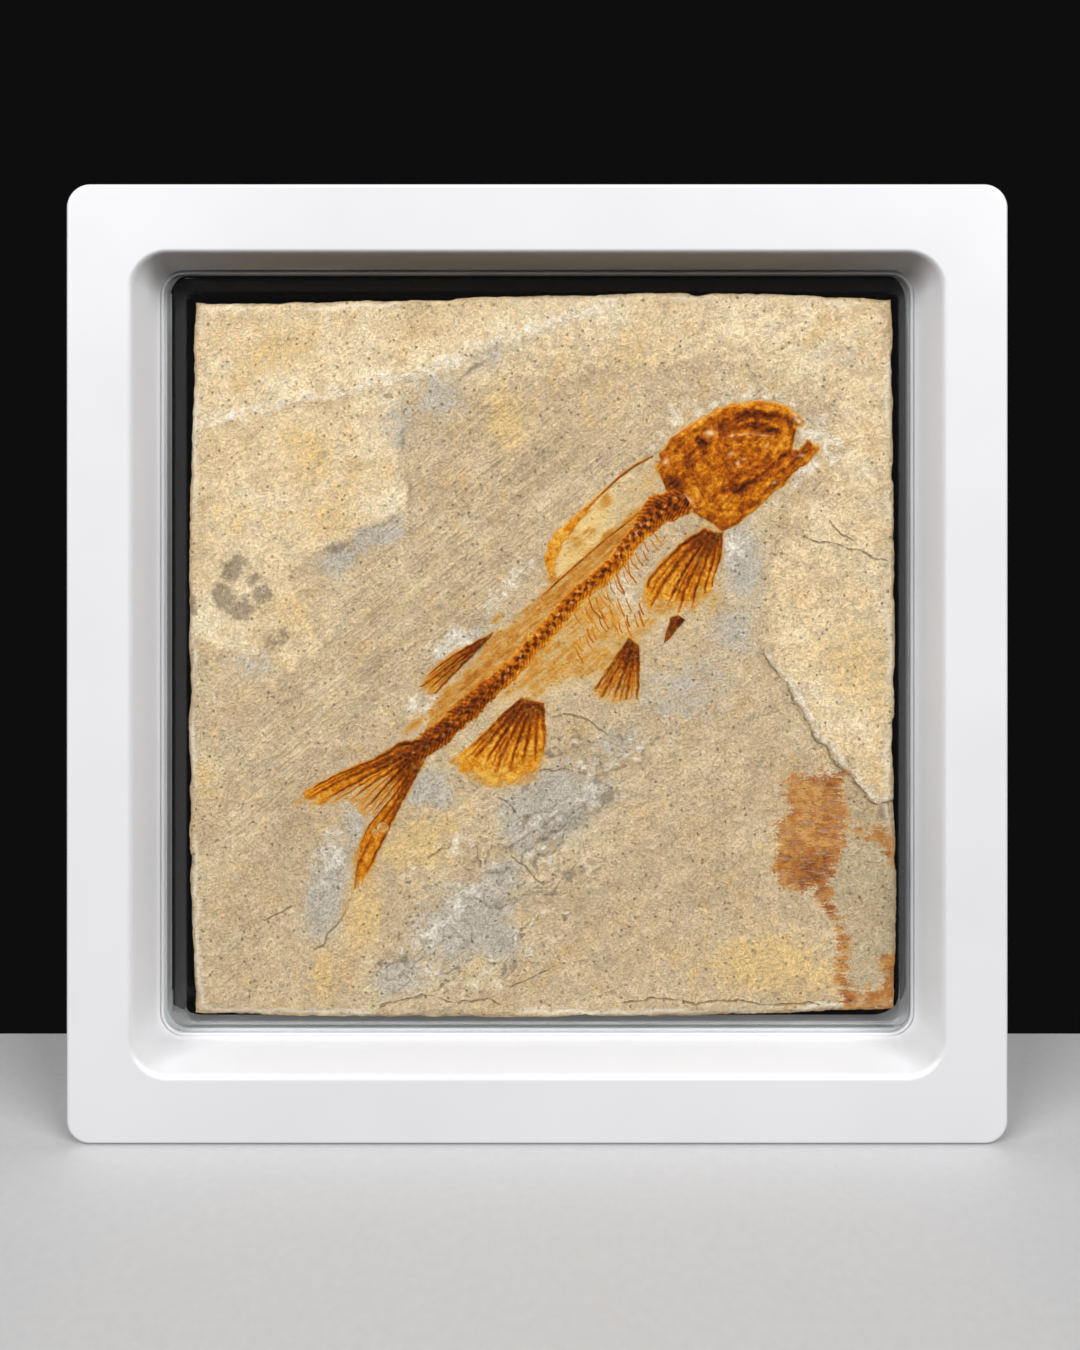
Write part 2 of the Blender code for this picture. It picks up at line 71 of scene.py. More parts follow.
FILM_RIM_OVERLAP = 4.6 * MM
RIM_BACK = GAP / 2 + FILM_SPACE + GAP
CORNER_STEPS = 12
ROUND_STEPS = 5
SAME_PLANE = 0.01 * MM  # edges this near a depth count as lying at it
MERGE_DISTANCE = 0.04 * MM

# Film: the clamped rim, a slight bend, a soft foot, straight walls, a soft shoulder and the flat top.
# The pairs are run and rise.
FILM_SHEET = 0.14 * MM
FILM_RIM_DEPTH = 0.4 * MM
FILM_BEND = (0.5 * MM, 0.1 * MM)
FILM_FOOT = (0.7 * MM, 0.12 * MM)
FILM_SHOULDER = (0.9 * MM, 0.4 * MM)
FILM_TOP_DEPTH = 5.32 * MM
FILM_TOP_RADIUS = 2.5 * MM
FOOT_FOLLOWS = 0.7  # share of the slab's own offset by which the foot is off the middle

# Slab, in millimetres
SLAB_MIDDLE_X = 1.15
SLAB_MIDDLE_Z = 0.1
SLAB_HALF_W = 77.95
SLAB_HALF_H = 79.9
SLAB_FACE = 4.3
BACK_CELLS = (68, 70)  # cells of the back's grid, across and up
FACE_CELLS_EACH = 4  # cells of the face along each cell of the back
SIDE_ROWS = 6
RIM_WIDTH = 2.5
LESS_RUST = 2.5  # how much weaker the rust's edge is on the sides and the back
FAR_FROM_CRACKS_AND_SHADOWS = 9.0
HIGHEST, LOWEST = 0.66, -0.9  # limits of the face's relief
BACK_HIGHEST = 0.6  # limit of the back's
CHIPS_REACH = 74  # how far from the middle the chipped top and bottom rims start
FOLD_DEGREES, SCORE_DEGREES, FLAKE_DEGREES = 33, 43, 35

SLAB_TOP = [(-75.2, 77.7), (-44, 78.0), (-22, 78.8), (15, 79.5), (25, 80.0), (52, 79.7), (78.2, 78.5)]
SLAB_RIGHT = [(78.4, -77.6), (79.1, -57), (79.0, -42), (78.3, -32), (78.8, 0), (78.4, 36), (78.2, 78.5)]
SLAB_BOTTOM = [(-75.2, -78.6), (-63, -79.0), (-41, -79.4), (-18, -79.8), (31, -79.3), (78.4, -77.6)]
SLAB_LEFT = [
    (-75.2, -78.6), (-75.8, -64), (-76.6, -45), (-76.8, -4), (-76.5, 30), (-76.0, 62), (-75.2, 77.7),
]

# Raised layer of stone at the right edge, which ends in a broken ledge, and the step at top left.
LEDGE_LINE = [
    (47.0, 6.0), (49.0, 1.6), (52.2, -3.6), (55.2, -8.0), (58.6, -12.4), (60.4, -17.2), (63.4, -20.8),
    (67.0, -24.6), (69.6, -27.6), (72.0, -30.6), (74.6, -32.6), (76.4, -32.6), (79.6, -31.2),
]
STEP_LINE = [
    (-78, 48.4), (-74.0, 49.3), (-66, 51.2), (-57, 53.4), (-46, 56.0), (-36, 58.4), (-22.6, 61.6),
    (-14, 65.8), (-5.0, 69.2), (5.0, 72.8), (14, 75.0),
]

# Fish: the head points to the upper right and the tail to the lower left.
SKULL_OUTLINE = [
    (26.2, 40.9), (26.9, 44.6), (29.9, 48.3), (33.5, 50.7), (37.9, 53.1), (43.0, 55.1), (48.1, 56.0),
    (51.8, 55.8), (54.7, 54.7), (57.6, 52.7), (58.6, 51.5), (56.7, 50.3), (56.6, 47.9), (56.0, 45.2),
    (57.5, 45.4), (59.4, 47.5), (60.5, 46.7), (62.0, 45.9), (59.1, 42.4), (57.2, 41.2), (54.7, 38.1),
    (51.8, 35.8), (48.1, 32.5), (44.5, 29.6), (40.8, 27.4), (38.0, 29.5), (34.6, 31.2), (31.5, 33.2),
    (28.4, 36.6),
]
SPINE = [
    (33.0, 35.2), (31.1, 33.9), (26.5, 32.0), (22.8, 28.1), (19.9, 24.7), (16.8, 20.5), (12.7, 16.9),
    (8.3, 13.5), (5.0, 9.6), (1.8, 5.8), (-2.0, 2.1), (-4.9, -1.6), (-7.9, -4.6), (-11.5, -7.8),
    (-14.6, -10.9), (-18.0, -14.1), (-22.2, -17.8), (-26.2, -20.6), (-29.6, -22.9),
]
TAIL_FIN = [
    [(-24.9, -18.2), (-30.0, -19.0), (-36.0, -22.6), (-43.0, -25.4), (-50.6, -29.4), (-53.0, -32.4)],
    [(-25.9, -19.4), (-34.0, -22.9), (-43.0, -27.0), (-50.8, -31.2)],
    [(-26.4, -20.2), (-34.0, -24.4), (-42.0, -28.8), (-49.4, -33.2)],
    [(-26.8, -20.9), (-33.5, -25.8), (-41.0, -31.2)],
    [(-27.0, -21.5), (-32.4, -27.4), (-38.6, -34.2)],
    [(-26.8, -22.0), (-31.6, -28.8), (-37.4, -36.2)],
    [(-26.4, -22.4), (-30.8, -29.6), (-36.8, -36.8), (-40.0, -43.2)],
    [(-26.0, -22.6), (-30.4, -30.6), (-36.0, -38.6), (-39.6, -46.0), (-40.2, -51.4)],
    [(-24.9, -22.9), (-28.6, -29.4), (-32.8, -37.6), (-36.2, -45.0), (-39.4, -51.0)],
]
PECTORAL_FIN = [
    [(36.9, 28.0), (31.3, 24.4), (25.0, 17.6), (22.8, 12.2)],
    [(37.4, 27.7), (32.6, 22.8), (27.2, 15.6), (24.6, 10.4)],
    [(38.0, 27.4), (33.6, 21.0), (30.0, 14.4), (27.8, 9.4)],
    [(38.6, 27.2), (35.2, 20.8), (32.2, 14.2), (31.0, 9.4)],
    [(39.2, 27.2), (36.9, 20.6), (34.8, 14.6), (33.8, 9.8)],
    [(39.8, 27.2), (38.5, 20.8), (36.9, 15.4), (36.2, 11.2)],
    [(40.6, 27.3), (40.2, 22.4), (38.8, 17.6), (38.2, 14.0)],
]
PELVIC_FIN = [
    [(20.2, 4.0), (16.0, -2.4), (12.0, -8.2)],
    [(20.8, 3.7), (17.4, -3.0), (14.0, -8.9)],
    [(21.2, 3.3), (18.9, -3.6), (16.6, -9.8)],
    [(21.7, 2.9), (20.4, -3.8), (19.4, -9.6)],
    [(22.2, 2.5), (22.2, -3.4), (22.0, -9.6)],
]
ANAL_FIN = [
    [(-3.4, -9.0), (-9.6, -15.0), (-14.4, -19.8), (-19.0, -23.4)],
    [(-2.8, -9.2), (-8.0, -15.4), (-12.4, -20.6), (-16.6, -25.4)],
    [(-2.2, -9.4), (-6.6, -15.8), (-10.4, -21.4), (-13.2, -27.2)],
    [(-1.6, -9.6), (-5.0, -16.0), (-8.0, -22.0), (-10.2, -28.3)],
    [(-1.0, -9.8), (-3.4, -16.2), (-5.4, -22.2), (-6.8, -28.5)],
    [(-0.4, -9.9), (-1.8, -16.4), (-3.0, -22.4), (-3.4, -28.0)],
    [(0.3, -10.0), (-0.2, -16.4), (-0.4, -22.2), (-0.4, -26.8)],
    [(1.2, -10.2), (1.5, -14.6), (1.7, -18.3), (1.2, -22.6)],
]
REAR_DORSAL_FIN = [
    [(-9.6, 5.2), (-15.8, 1.8), (-21.6, -1.9), (-25.2, -5.2)],
    [(-10.2, 4.4), (-16.4, 0.4), (-22.4, -4.2), (-25.6, -6.6)],
    [(-10.8, 3.6), (-17.0, -1.0), (-22.6, -6.0), (-24.6, -7.6)],
    [(-11.6, 2.8), (-17.2, -2.4), (-22.7, -8.2)],
]
LOOSE_BONE = [
    [(29.6, 8.8), (28.6, 5.6), (27.8, 2.6)],
    [(31.0, 8.9), (29.6, 6.0), (28.0, 2.8)],
    [(32.2, 8.2), (30.4, 5.8), (28.2, 3.0)],
]
FRONT_DORSAL_EDGE = [
    (25.8, 44.2), (21.6, 42.0), (17.9, 39.3), (12.7, 34.4), (7.4, 28.9), (4.4, 25.4), (2.8, 21.6),
    (3.2, 17.0),
]
BODY_EDGE = [(24.6, 33.6), (21.0, 30.4), (15.6, 26.2), (9.8, 21.2), (4.8, 16.8), (0.4, 12.6)]
FRONT_DORSAL_WEB = FRONT_DORSAL_EDGE + BODY_EDGE[:-2][::-1] + [(26.6, 40.0)]
# Rows of fine ribs under the backbone: shares of its length at both ends, how many, how far below it
# they start, how long they are, and their direction in degrees.
RIB_ROWS = [
    (0.20, 0.42, 17, 2.0, 6.0, -62), (0.30, 0.48, 14, 6.4, 5.0, -66), (0.13, 0.20, 5, 2.6, 4.4, -58),
    (0.27, 0.37, 8, 10.4, 4.4, -70),
]


# ---------------------------------------------------------------- measuring on the slab's face


def smooth_between(low, high, value):
    """0 up to low and 1 from high on, with soft ends."""
    share = np.clip((value - low) / (high - low), 0, 1)
    return share * share * (3 - 2 * share)


NOISE_TABLE = 256


def lumps(x, z, size, seed, octaves=1):
    """A smooth random field from about -1 to 1, with lumps of this size in millimetres."""
    total, weight = np.zeros(np.shape(x)), 0.0
    for octave in range(octaves):
        table = np.random.default_rng(seed + octave).uniform(-1, 1, (NOISE_TABLE, NOISE_TABLE))
        u, v = x / size * 2**octave, z / size * 2**octave
        i, j = np.floor(u).astype(int), np.floor(v).astype(int)
        fu, fv = smooth_between(0, 1, u - i), smooth_between(0, 1, v - j)
        i, j, k, m = i % NOISE_TABLE, j % NOISE_TABLE, (i + 1) % NOISE_TABLE, (j + 1) % NOISE_TABLE
        low = table[i, j] * (1 - fu) + table[k, j] * fu
        high = table[i, m] * (1 - fu) + table[k, m] * fu
        total += (low * (1 - fv) + high * fv) / 2**octave
        weight += 0.5**octave
    return total / weight


def turned(x, z, degrees):
    """The same points measured along and across a direction, in degrees from the x axis."""
    c, s = math.cos(math.radians(degrees)), math.sin(math.radians(degrees))
    return x * c + z * s, z * c - x * s


def line_length(line):
    return sum(math.dist(a, b) for a, b in zip(line, line[1:]))


def to_line(x, z, line):
    """Distance to a line, the share of its length at the nearest point, and the side: 1 on its left."""
    nearest, share, side = np.full(np.shape(x), np.inf), np.zeros(np.shape(x)), np.zeros(np.shape(x))
    total, done = line_length(line), 0.0
    for (ax, az), (bx, bz) in zip(line, line[1:]):
        dx, dz, length = bx - ax, bz - az, math.dist((ax, az), (bx, bz))
        part = np.clip(((x - ax) * dx + (z - az) * dz) / length**2, 0, 1)
        distance = np.hypot(x - ax - part * dx, z - az - part * dz)
        near = distance < nearest
        nearest = np.where(near, distance, nearest)
        share = np.where(near, (done + part * length) / total, share)
        side = np.where(near, np.sign(dx * (z - az) - dz * (x - ax)), side)
        done += length
    return nearest, share, side


def signed_line(x, z, line):
    """Distance to a line, positive on its left, and the share of its length at the nearest point."""
    distance, share, side = to_line(x, z, line)
    return distance * side, share


def to_outline(x, z, outline):
    """Distance to a closed outline, positive inside it."""
    closed = list(outline) + [outline[0]]
    inside = np.zeros(np.shape(x), bool)
    for (ax, az), (bx, bz) in zip(closed, closed[1:]):
        if az != bz:
            inside ^= ((az > z) != (bz > z)) & (x < (bx - ax) * (z - az) / (bz - az) + ax)
    distance = to_line(x, z, closed)[0]
    return np.where(inside, distance, -distance)


def blots(x, z, spots):
    """The strongest of several soft spots: middle, two half lengths, turn in degrees and strength."""
    total = np.zeros(np.shape(x))
    for middle_x, middle_z, half_long, half_wide, degrees, strength in spots:
        u, v = turned(x - middle_x, z - middle_z, degrees)
        total = np.maximum(total, strength * np.exp(-((u / half_long) ** 2) - (v / half_wide) ** 2))
    return total


def along(points, share):
    """Points at these shares of the way along a line."""
    points = np.array(points, float)
    lengths = np.hypot(*np.diff(points, axis=0).T)
    at = np.concatenate([[0], np.cumsum(lengths)]) / lengths.sum()
    return np.stack([np.interp(share, at, points[:, 0]), np.interp(share, at, points[:, 1])], -1)


def warped(x, z, amount, size, seeds, octaves=1):
    """The same points pushed about at random, so that what is drawn on them looks broken or grown."""
    push_x, push_z = (amount * lumps(x, z, size, seed, octaves) for seed in seeds)
    return x + push_x, z + push_z


def peak(distance, width):
    """1 where the distance is 0, falling off softly over this width."""
    return np.exp(-((distance / width) ** 2))


def round_top(distance, half_width):
    """Height of a round ridge, 1 at its crest, this far from the crest."""
    return np.sqrt(np.clip(1 - (distance / half_width) ** 2, 0, 1))


def strongest(*fields):
    return functools.reduce(np.maximum, fields)


def fade_ends(share, start, end):
    """1 along a line, fading to 0 over these shares of its length at its start and end."""
    return smooth_between(0, start, share) * smooth_between(0, end, 1 - share)


# ---------------------------------------------------------------- relief of the stone


SLAB_OUTLINE = SLAB_BOTTOM[:-1] + SLAB_RIGHT[:-1] + SLAB_TOP[::-1][:-1] + SLAB_LEFT[::-1][:-1]

# Edges of flakes that show both as a step and as a dark hairline painted along it as its shadow.
CURVED_FLAKE = [(15.6, -18.2), (14.6, -16.6), (11.5, -14.2), (8.0, -13.0), (5.0, -12.8), (2.4, -13.8)]
BOTTOM_FLAKE_RIGHT = [
    (66, -77.4), (60, -76.0), (52, -76.6), (44, -75.2), (35, -76.2), (26, -75.0), (16, -76.6),
]
BOTTOM_FLAKE_LEFT = [(-6, -77.8), (-10, -75.4), (-18, -76.2), (-24, -74.2), (-33, -76.0), (-37, -78.4)]

# Steps where a thin layer has flaked off: line, rise and reach. The stone is higher on the line's left.
FLAKE_STEPS = [
    (CURVED_FLAKE, 0.30, 5.0),
    ([(5.6, -48.4), (0.8, -49.6), (-1.6, -47.9), (-3.8, -45.3), (-6.8, -43.3)], 0.32, 6.0),
    ([(-3.4, -25.6), (1.0, -25.2), (7.4, -25.0)], 0.18, 3.0),
    ([(-11.8, -48.2), (-16.4, -49.4), (-20.2, -54.6), (-24.4, -58.4)], 0.16, 5.0),
    ([(48.0, 30.4), (56.9, 27.5), (62.0, 24.6), (70.1, 22.9), (78.6, 20.8)], 0.20, 7.0),
    ([(78.6, -8.6), (75.4, -9.6), (74.0, -12.0), (75.0, -14.4), (78.6, -16.0)], 0.20, 3.0),
    ([(-77, 32.6), (-70, 34.6), (-59.3, 37.8), (-52, 38.8)], 0.14, 8.0),
    ([(-30.8, 45.6), (-38, 47.2), (-47.7, 49.5)], 0.12, 6.0),
    ([(30, -38), (38, -34), (46, -29.6), (54, -24)], 0.10, 8.0),
    ([(20, -63), (28, -58.6), (40, -52), (47, -47)], 0.10, 8.0),
    (BOTTOM_FLAKE_RIGHT, 0.24, 5.0),
    (BOTTOM_FLAKE_LEFT, 0.26, 5.0),
]

# Hairlines: some are cracked stone, and those along the flake steps are painted shadow at the steps' foot.
CRACKS_AND_STEP_SHADOWS = [
    [
        (-40.0, -52.3), (-41.3, -53.9), (-42.6, -56.6), (-44.0, -58.9), (-46.1, -61.1), (-47.0, -63.3),
        (-49.6, -65.0),
    ],
    [(-24.2, -44.3), (-21.2, -42.4), (-18.4, -41.4)], [(-60.8, -58.1), (-57.0, -56.6), (-53.5, -54.5)],
    [(56.9, 26.7), (61.0, 25.2), (66.0, 24.4), (70.0, 23.5), (74.2, 21.6), (78.4, 20.8)],
    [(-9.6, -30.6), (-6.6, -31.9), (-4.4, -34.6)], [(0.6, -24.9), (4.0, -25.2), (7.3, -25.0)], CURVED_FLAKE,
    [(5.0, -48.6), (0.8, -49.6), (-1.6, -47.9), (-3.8, -45.3), (-6.8, -43.3)],
    [(-6.7, -72.8), (-1.0, -70.4), (5.0, -67.6)], [(64.0, 30.0), (67.0, 26.8), (70.2, 25.0)],
    BOTTOM_FLAKE_RIGHT, BOTTOM_FLAKE_LEFT,
]

# Pits: x, z and radius.
PITS = [
    (-24.2, -67.0, 0.7), (66.0, 19.7, 0.55), (-62.6, 59.6, 0.9), (37.2, -45.1, 0.7), (-49.4, -3.8, 0.6),
    (52.6, -12.4, 0.5), (-36.0, -66.0, 0.5), (70.6, -52.6, 0.45), (-68.6, 67.4, 0.45), (6.6, 73.4, 0.5),
]


def ledge(x, z):
    """Signed distance to the broken edge of the layer at the right, and how far it stands clear there."""
    signed, share = signed_line(*warped(x, z, 1.3, 4.0, (151, 153), 3), LEDGE_LINE)
    return signed, smooth_between(0.0, 0.22, share)


def flakes(x, z):
    """Where thin flakes have come away: how far inside that zone, and a field whose level lines are
    the flakes' edges."""
    u, v = turned(*warped(x, z, 1.2, 2.6, (141, 143), 2), FLAKE_DEGREES)
    return zone(x, z, FLAKY_STONE, 10), lumps(u / 1.7, v, 6.4, 145, 3)


def stone_height(x, z):
    """Height of the stone's face over its nominal plane, in millimetres."""
    warp_x, warp_z = warped(x, z, 1.1, 5.0, (11, 13), 2)
    height = 0.15 * lumps(x, z, 30, 1) + 0.07 * lumps(x, z, 9, 2, 3)
    from_skull = to_outline(x, z, SKULL_OUTLINE)
    # The stone close to the fish was worked smooth.
    prepared = np.maximum(np.exp(-((to_line(x, z, SPINE)[0] / 11) ** 4)), smooth_between(-7, -1, from_skull))
    grain = 0.11 * lumps(x, z, 1.5, 5, 2) + 0.07 * lumps(x, z, 4.0, 21, 2)
    u, v = turned(x, z, FOLD_DEGREES)
    folds = 0.26 * lumps(u / 5.0, v, 2.6, 31, 2) + 0.10 * lumps(u / 3.5, v, 1.3, 33, 2)
    u, v = turned(x, z, SCORE_DEGREES)
    scores = 0.055 * lumps(u / 16.0, v, 1.5, 41) * zone(x, z, SCORED_STONE, 8)
    height += (grain + folds * zone(x, z, FOLDED_STONE, 12) + scores) * (1 - 0.75 * prepared)
    inside, level = flakes(x, z)
    terraces = 0.26 * smooth_between(-0.03, 0.05, level) + 0.20 * smooth_between(0.24, 0.32, level) - 0.2
    height += terraces * inside * (1 - prepared)
    # The layer at the right edge: highest at its broken edge, and level with the rest further back.
    signed, start = ledge(x, z)
    height += 0.50 * start * smooth_between(-0.25, 0.25, signed) * (1 - smooth_between(2, 17, signed))
    height -= 0.12 * start * smooth_between(-3.0, -0.2, signed) * (signed < 0)
    # The step at top left.
    signed, _ = signed_line(warp_x, warp_z, STEP_LINE)
    height += 0.24 * smooth_between(-0.5, 0.5, signed) * (1 - smooth_between(1, 11, signed))
    for line, rise, reach in FLAKE_STEPS:
        signed, share = signed_line(warp_x * 0.4 + x * 0.6, warp_z * 0.4 + z * 0.6, line)
        lasting = 1 - smooth_between(0.6, reach, signed)
        height += rise * fade_ends(share, 0.15, 0.15) * smooth_between(-0.3, 0.3, signed) * lasting
    for pit_x, pit_z, radius in PITS:
        height -= 0.4 * np.exp(-(((x - pit_x) ** 2 + (z - pit_z) ** 2) / radius**2))
    # Round the head the stone was scraped down to free the bone.
    return np.clip(height - 0.10 * smooth_between(-8, -2.5, from_skull), LOWEST, HIGHEST)


def rim_drop(x, z, edge):
    """How far chips take the face down near the slab's edge, at this distance from the edge."""
    width = 0.7 + 0.9 * np.clip(lumps(x, z, 9, 51, 2) + 0.15, 0, 1) * 2.2
    corner = np.exp(-(((x - 78) ** 2 + (z - 78) ** 2) / 5.5**2)) * 3.0
    bottom_chips = 1.6 * smooth_between(0.1, 0.5, lumps(x, z, 7, 53)) * (z < -CHIPS_REACH)
    top_chips = 1.1 * smooth_between(0.0, 0.5, lumps(x, z, 6, 55)) * (z > CHIPS_REACH) * (x < -34)
    width = width + corner + bottom_chips + top_chips
    depth = 0.5 + 0.45 * np.abs(lumps(x, z, 5, 57)) + 0.25 * corner
    return depth * (1 - smooth_between(0, 1, edge / width)) ** 1.4


# ---------------------------------------------------------------- zones of colour and texture


CREAM_STONE = [
    (-80, 82), (14, 82), (5.0, 72.8), (-5.0, 69.2), (-14, 65.8), (-22.6, 61.6), (-30.5, 58.6), (-30.9, 46.4),
    (-28.6, 38.0), (-29.4, 32.6), (-38.9, 28.9), (-43.3, 25.2), (-49.4, 22.6), (-56, 18), (-52, 9), (-47, 3),
    (-54, -2), (-66, 2), (-80, 6),
]
CREAM_LAYER = [
    (49.5, 21.6), (51.1, 8.5), (49, 1.6), (52.2, -3.6), (58.6, -12.4), (60.4, -17.2), (67.0, -24.6),
    (72.0, -30.6), (75.4, -32.8), (81, -31.5), (81, 82), (30, 82), (44, 66), (64, 60), (66, 40), (58, 28),
]
SCORED_STONE = [
    (-8, 62), (20, 52), (30, 46), (4, 26), (-12, 8), (-28, -6), (-48, -24), (-62, -44), (-70, -36),
    (-62, -10), (-46, 8), (-36, 26), (-24, 48),
]
FOLDED_STONE = [
    (10, -14), (40, 4), (56, -16), (60, -30), (50, -62), (20, -70), (-4, -60), (-6, -44), (6, -30),
]
RUST_THREAD = [(67.0, -61.0), (67.4, -66.0), (66.0, -70.0), (66.8, -74.0), (67.6, -77.0)]
FLAKY_STONE = [
    (-12, -22), (-2, -19), (10, -13), (20, -13), (34, -16), (30, -24), (20, -30), (17, -42), (10, -54),
    (2, -70), (-10, -76), (-34, -76), (-40, -66), (-30, -54), (-20, -48), (-14, -36),
]
GREEN_STONE = [
    (66.5, -25.5), (70, -29.5), (74.0, -34.0), (77.0, -38.6), (79.4, -45.0), (79.4, -62.6), (76.4, -66),
    (77.0, -70.0), (72.6, -73.6), (68.6, -72.6), (67.6, -64.4), (65.2, -57.4), (63.6, -51.6), (66.8, -44),
    (68.2, -36),
]
# Soft spots: x, z, two half lengths, turn in degrees and strength.
YELLOW_SPOTS = [
    (-7, 52, 5, 8, 0, 0.8), (-26, -42, 9, 7, 20, 0.75), (-19.8, -36.9, 2.5, 1.6, 0, 0.9),
    (-31.6, -42.9, 2.5, 2, 0, 0.9), (-47, -69, 3.5, 8, 0, 0.7), (50, -67, 12, 7, 0, 0.95),
    (46, -66, 6, 5, 30, 1.0), (-74, -25, 4, 3, 0, 0.7), (70, -3, 10, 14, 20, 0.5), (-50, 45, 9, 5, -40, 0.7),
    (-58, 66, 12, 6, 20, 0.55), (-45, 30, 9, 6, 20, 0.5), (-66, 30, 8, 7, 0, 0.45), (-53, 10, 4, 7, 30, 0.5),
    (20, 66, 10, 7, 0, 0.35), (9, -16.5, 4, 2.2, -20, 0.6), (62, -70, 6, 6, 0, 0.6), (30, 70, 8, 4, 0, 0.3),
    (-39, -57, 5, 9, 0, 0.75), (-33, -70, 8, 5, 0, 0.5), (-20, -36, 4, 3, 0, 0.6),
]
GREY_SPOTS = [
    (4, -33, 10, 8, 30, 1.0), (-3, -36, 6, 8, 0, 0.9), (-16, -58, 12, 8, 30, 1.0),
    (-38.5, -37, 4.5, 6, 0, 0.95), (-46.0, -51, 4.8, 12, -12, 0.88), (45.5, 21, 4.5, 10, 0, 0.85),
    (43, 6, 6, 7, 0, 0.6), (32, -8, 14, 9, 20, 0.5), (-36, 26, 9, 3.5, 28, 0.8), (-44, 21, 6, 4, 30, 0.8),
    (-22, 57, 6, 7, 40, 0.6), (-10, 66, 8, 4, 30, 0.5), (-30, 51, 6, 8, 0, 0.5), (-12, 6, 9, 4, 45, 0.45),
    (12, -30, 7, 5, 0, 0.7), (-62, -2, 7, 4, 0, 0.5), (66, 66, 9, 5, -20, 0.35), (-33, -28, 6, 4, 30, 0.35),
    (-24, -29.5, 6.5, 4, 0, 0.95), (-9, -62, 6, 7, 30, 0.8), (-31, -70, 7, 5, 20, 0.85),
    (-8, -49, 7, 5, 40, 0.8), (18, -19, 6, 5, 0, 0.6),
]
# Most are dark grey patches of the stone. Those at (-36.5, 28), (-45, 23.4) and the last six are painted
# shadow under the step at top left and along the cream zone's lower edge, and the one at (76.6, -34.4) is
# painted shadow under the end of the ledge.
DARK_SPOTS = [
    (-67, 19.4, 4.2, 2.8, 20, 1.0), (-69.6, 13.6, 2.8, 4.0, 0, 1.0), (-65.6, 10.6, 4.2, 2.6, -20, 1.0),
    (-60.6, 13.4, 2.8, 3.4, 20, 1.0), (-62.6, 17.0, 2.2, 2.0, 0, 0.9), (-56, 4.0, 6.0, 3.0, 10, 0.7),
    (-21.7, 71, 1.2, 2.0, 0, 0.7), (-70, -7, 3, 3, 0, 0.4), (-36.5, 28, 3, 1.5, 25, 0.5),
    (-45, 23.4, 3.4, 1.8, 20, 0.7), (-64, -12, 4, 3, 0, 0.35), (1.6, -29, 4, 2, 10, 0.5),
    (9.6, -36, 4, 2.6, 30, 0.5), (50.4, 2, 3, 2, 30, 0.5), (46.6, 29.6, 3, 1.4, 0, 0.35),
    (76.6, -34.4, 2.4, 1.6, 0, 0.9), (-75.6, 11.4, 1.2, 2.4, 0, 0.9), (-76, -45.6, 1.6, 0.7, 0, 0.9),
    (-33, 57.6, 3.4, 0.8, 20, 0.75), (-14.5, 62.8, 6.5, 0.8, 28, 0.75), (-29.8, 47.5, 0.8, 5, 0, 0.6),
    (-28.4, 37, 0.8, 5, -4, 0.65), (-33.5, 29.8, 4.5, 0.9, 27, 0.7), (-43, 24.2, 4, 1.2, 25, 0.8),
]
PALE_SPOTS = [
    (61.4, 49.6, 3.4, 4.4, 0, 0.8), (44, 58.4, 10, 2.6, 8, 0.35), (65, 45, 5, 6, 0, 0.6),
    (58.5, 41.0, 6, 2.4, 45, 0.7), (31, 53.4, 6, 3, 35, 0.6), (24, 43.0, 4, 4, 40, 0.5),
    (-6, 16, 13, 3.2, 46, 0.6), (-18.5, 2.6, 6, 3.6, 40, 1.0), (43, 24, 3.6, 6, 0, 0.6),
    (-36.4, -34.2, 3, 4, -20, 0.8), (-34.5, -46.6, 2.4, 4, 0, 0.3), (-45, -44, 4.6, 7, 0, 0.7),
    (2.8, -46, 7, 4, -30, 0.5), (12, -22.6, 4, 2.6, 0, 0.5), (-14, -24, 4, 3, 0, 0.2),
    (18.4, 15.0, 4.2, 6, 40, 0.55), (-26, -10.6, 4, 3, 40, 0.75), (-2, -62, 9, 5, 30, 0.3),
    (-14, -52, 9, 4, 35, 0.62), (-22, -60, 9, 4, 35, 0.6), (-27, -47, 5, 3.6, 0, 0.5),
    (-18, -41, 5, 4, 20, 0.62), (-24, -69, 8, 4, 20, 0.5), (10, -30, 4, 7, -30, 0.45),
    (22, -17, 5, 3, 0, 0.3), (20, 40, 9, 3, 43, 0.5), (-5, -7, 5, 2, 45, 0.5),
]
RUST_OUTLINE = [
    (54.2, -27.4), (56.8, -26.0), (61.0, -25.0), (62.4, -23.4), (63.6, -24.4), (64.0, -25.6), (67.8, -25.2),
    (67.2, -28.2), (66.8, -31.0), (68.2, -34.0), (68.6, -37.0), (67.8, -40.0), (66.6, -43.0), (65.2, -45.0),
    (65.6, -46.8), (65.8, -49.0), (64.6, -50.4), (65.2, -53.2), (66.6, -57.0), (67.8, -59.6), (68.2, -62.6),
    (67.6, -65.0), (66.0, -65.6), (66.2, -62.4), (65.0, -59.0), (62.8, -56.0), (61.0, -53.8), (60.4, -50.6),
    (58.6, -51.6), (56.6, -50.8), (54.6, -50.4), (53.6, -52.6), (53.0, -52.4), (53.0, -48.0), (51.4, -46.4),
    (52.0, -43.0), (52.8, -38.6), (52.4, -36.2), (54.8, -33.0), (53.0, -31.2),
]
RUST_CORNER = [
    (65.4, -68.6), (67.0, -70.0), (69.4, -73.0), (70.8, -75.4), (73.0, -73.2), (75.2, -72.6), (76.4, -69.6),
    (75.6, -67.2), (76.2, -65.0), (79.4, -65.2), (79.4, -78.2), (66.6, -78.6), (66.4, -75.0), (65.6, -71.6),
]
RUST_VEIN = [(70.6, -37.8), (72.6, -39.6), (74.8, -38.8), (76.0, -41.0), (77.6, -43.2), (79.0, -45.4)]
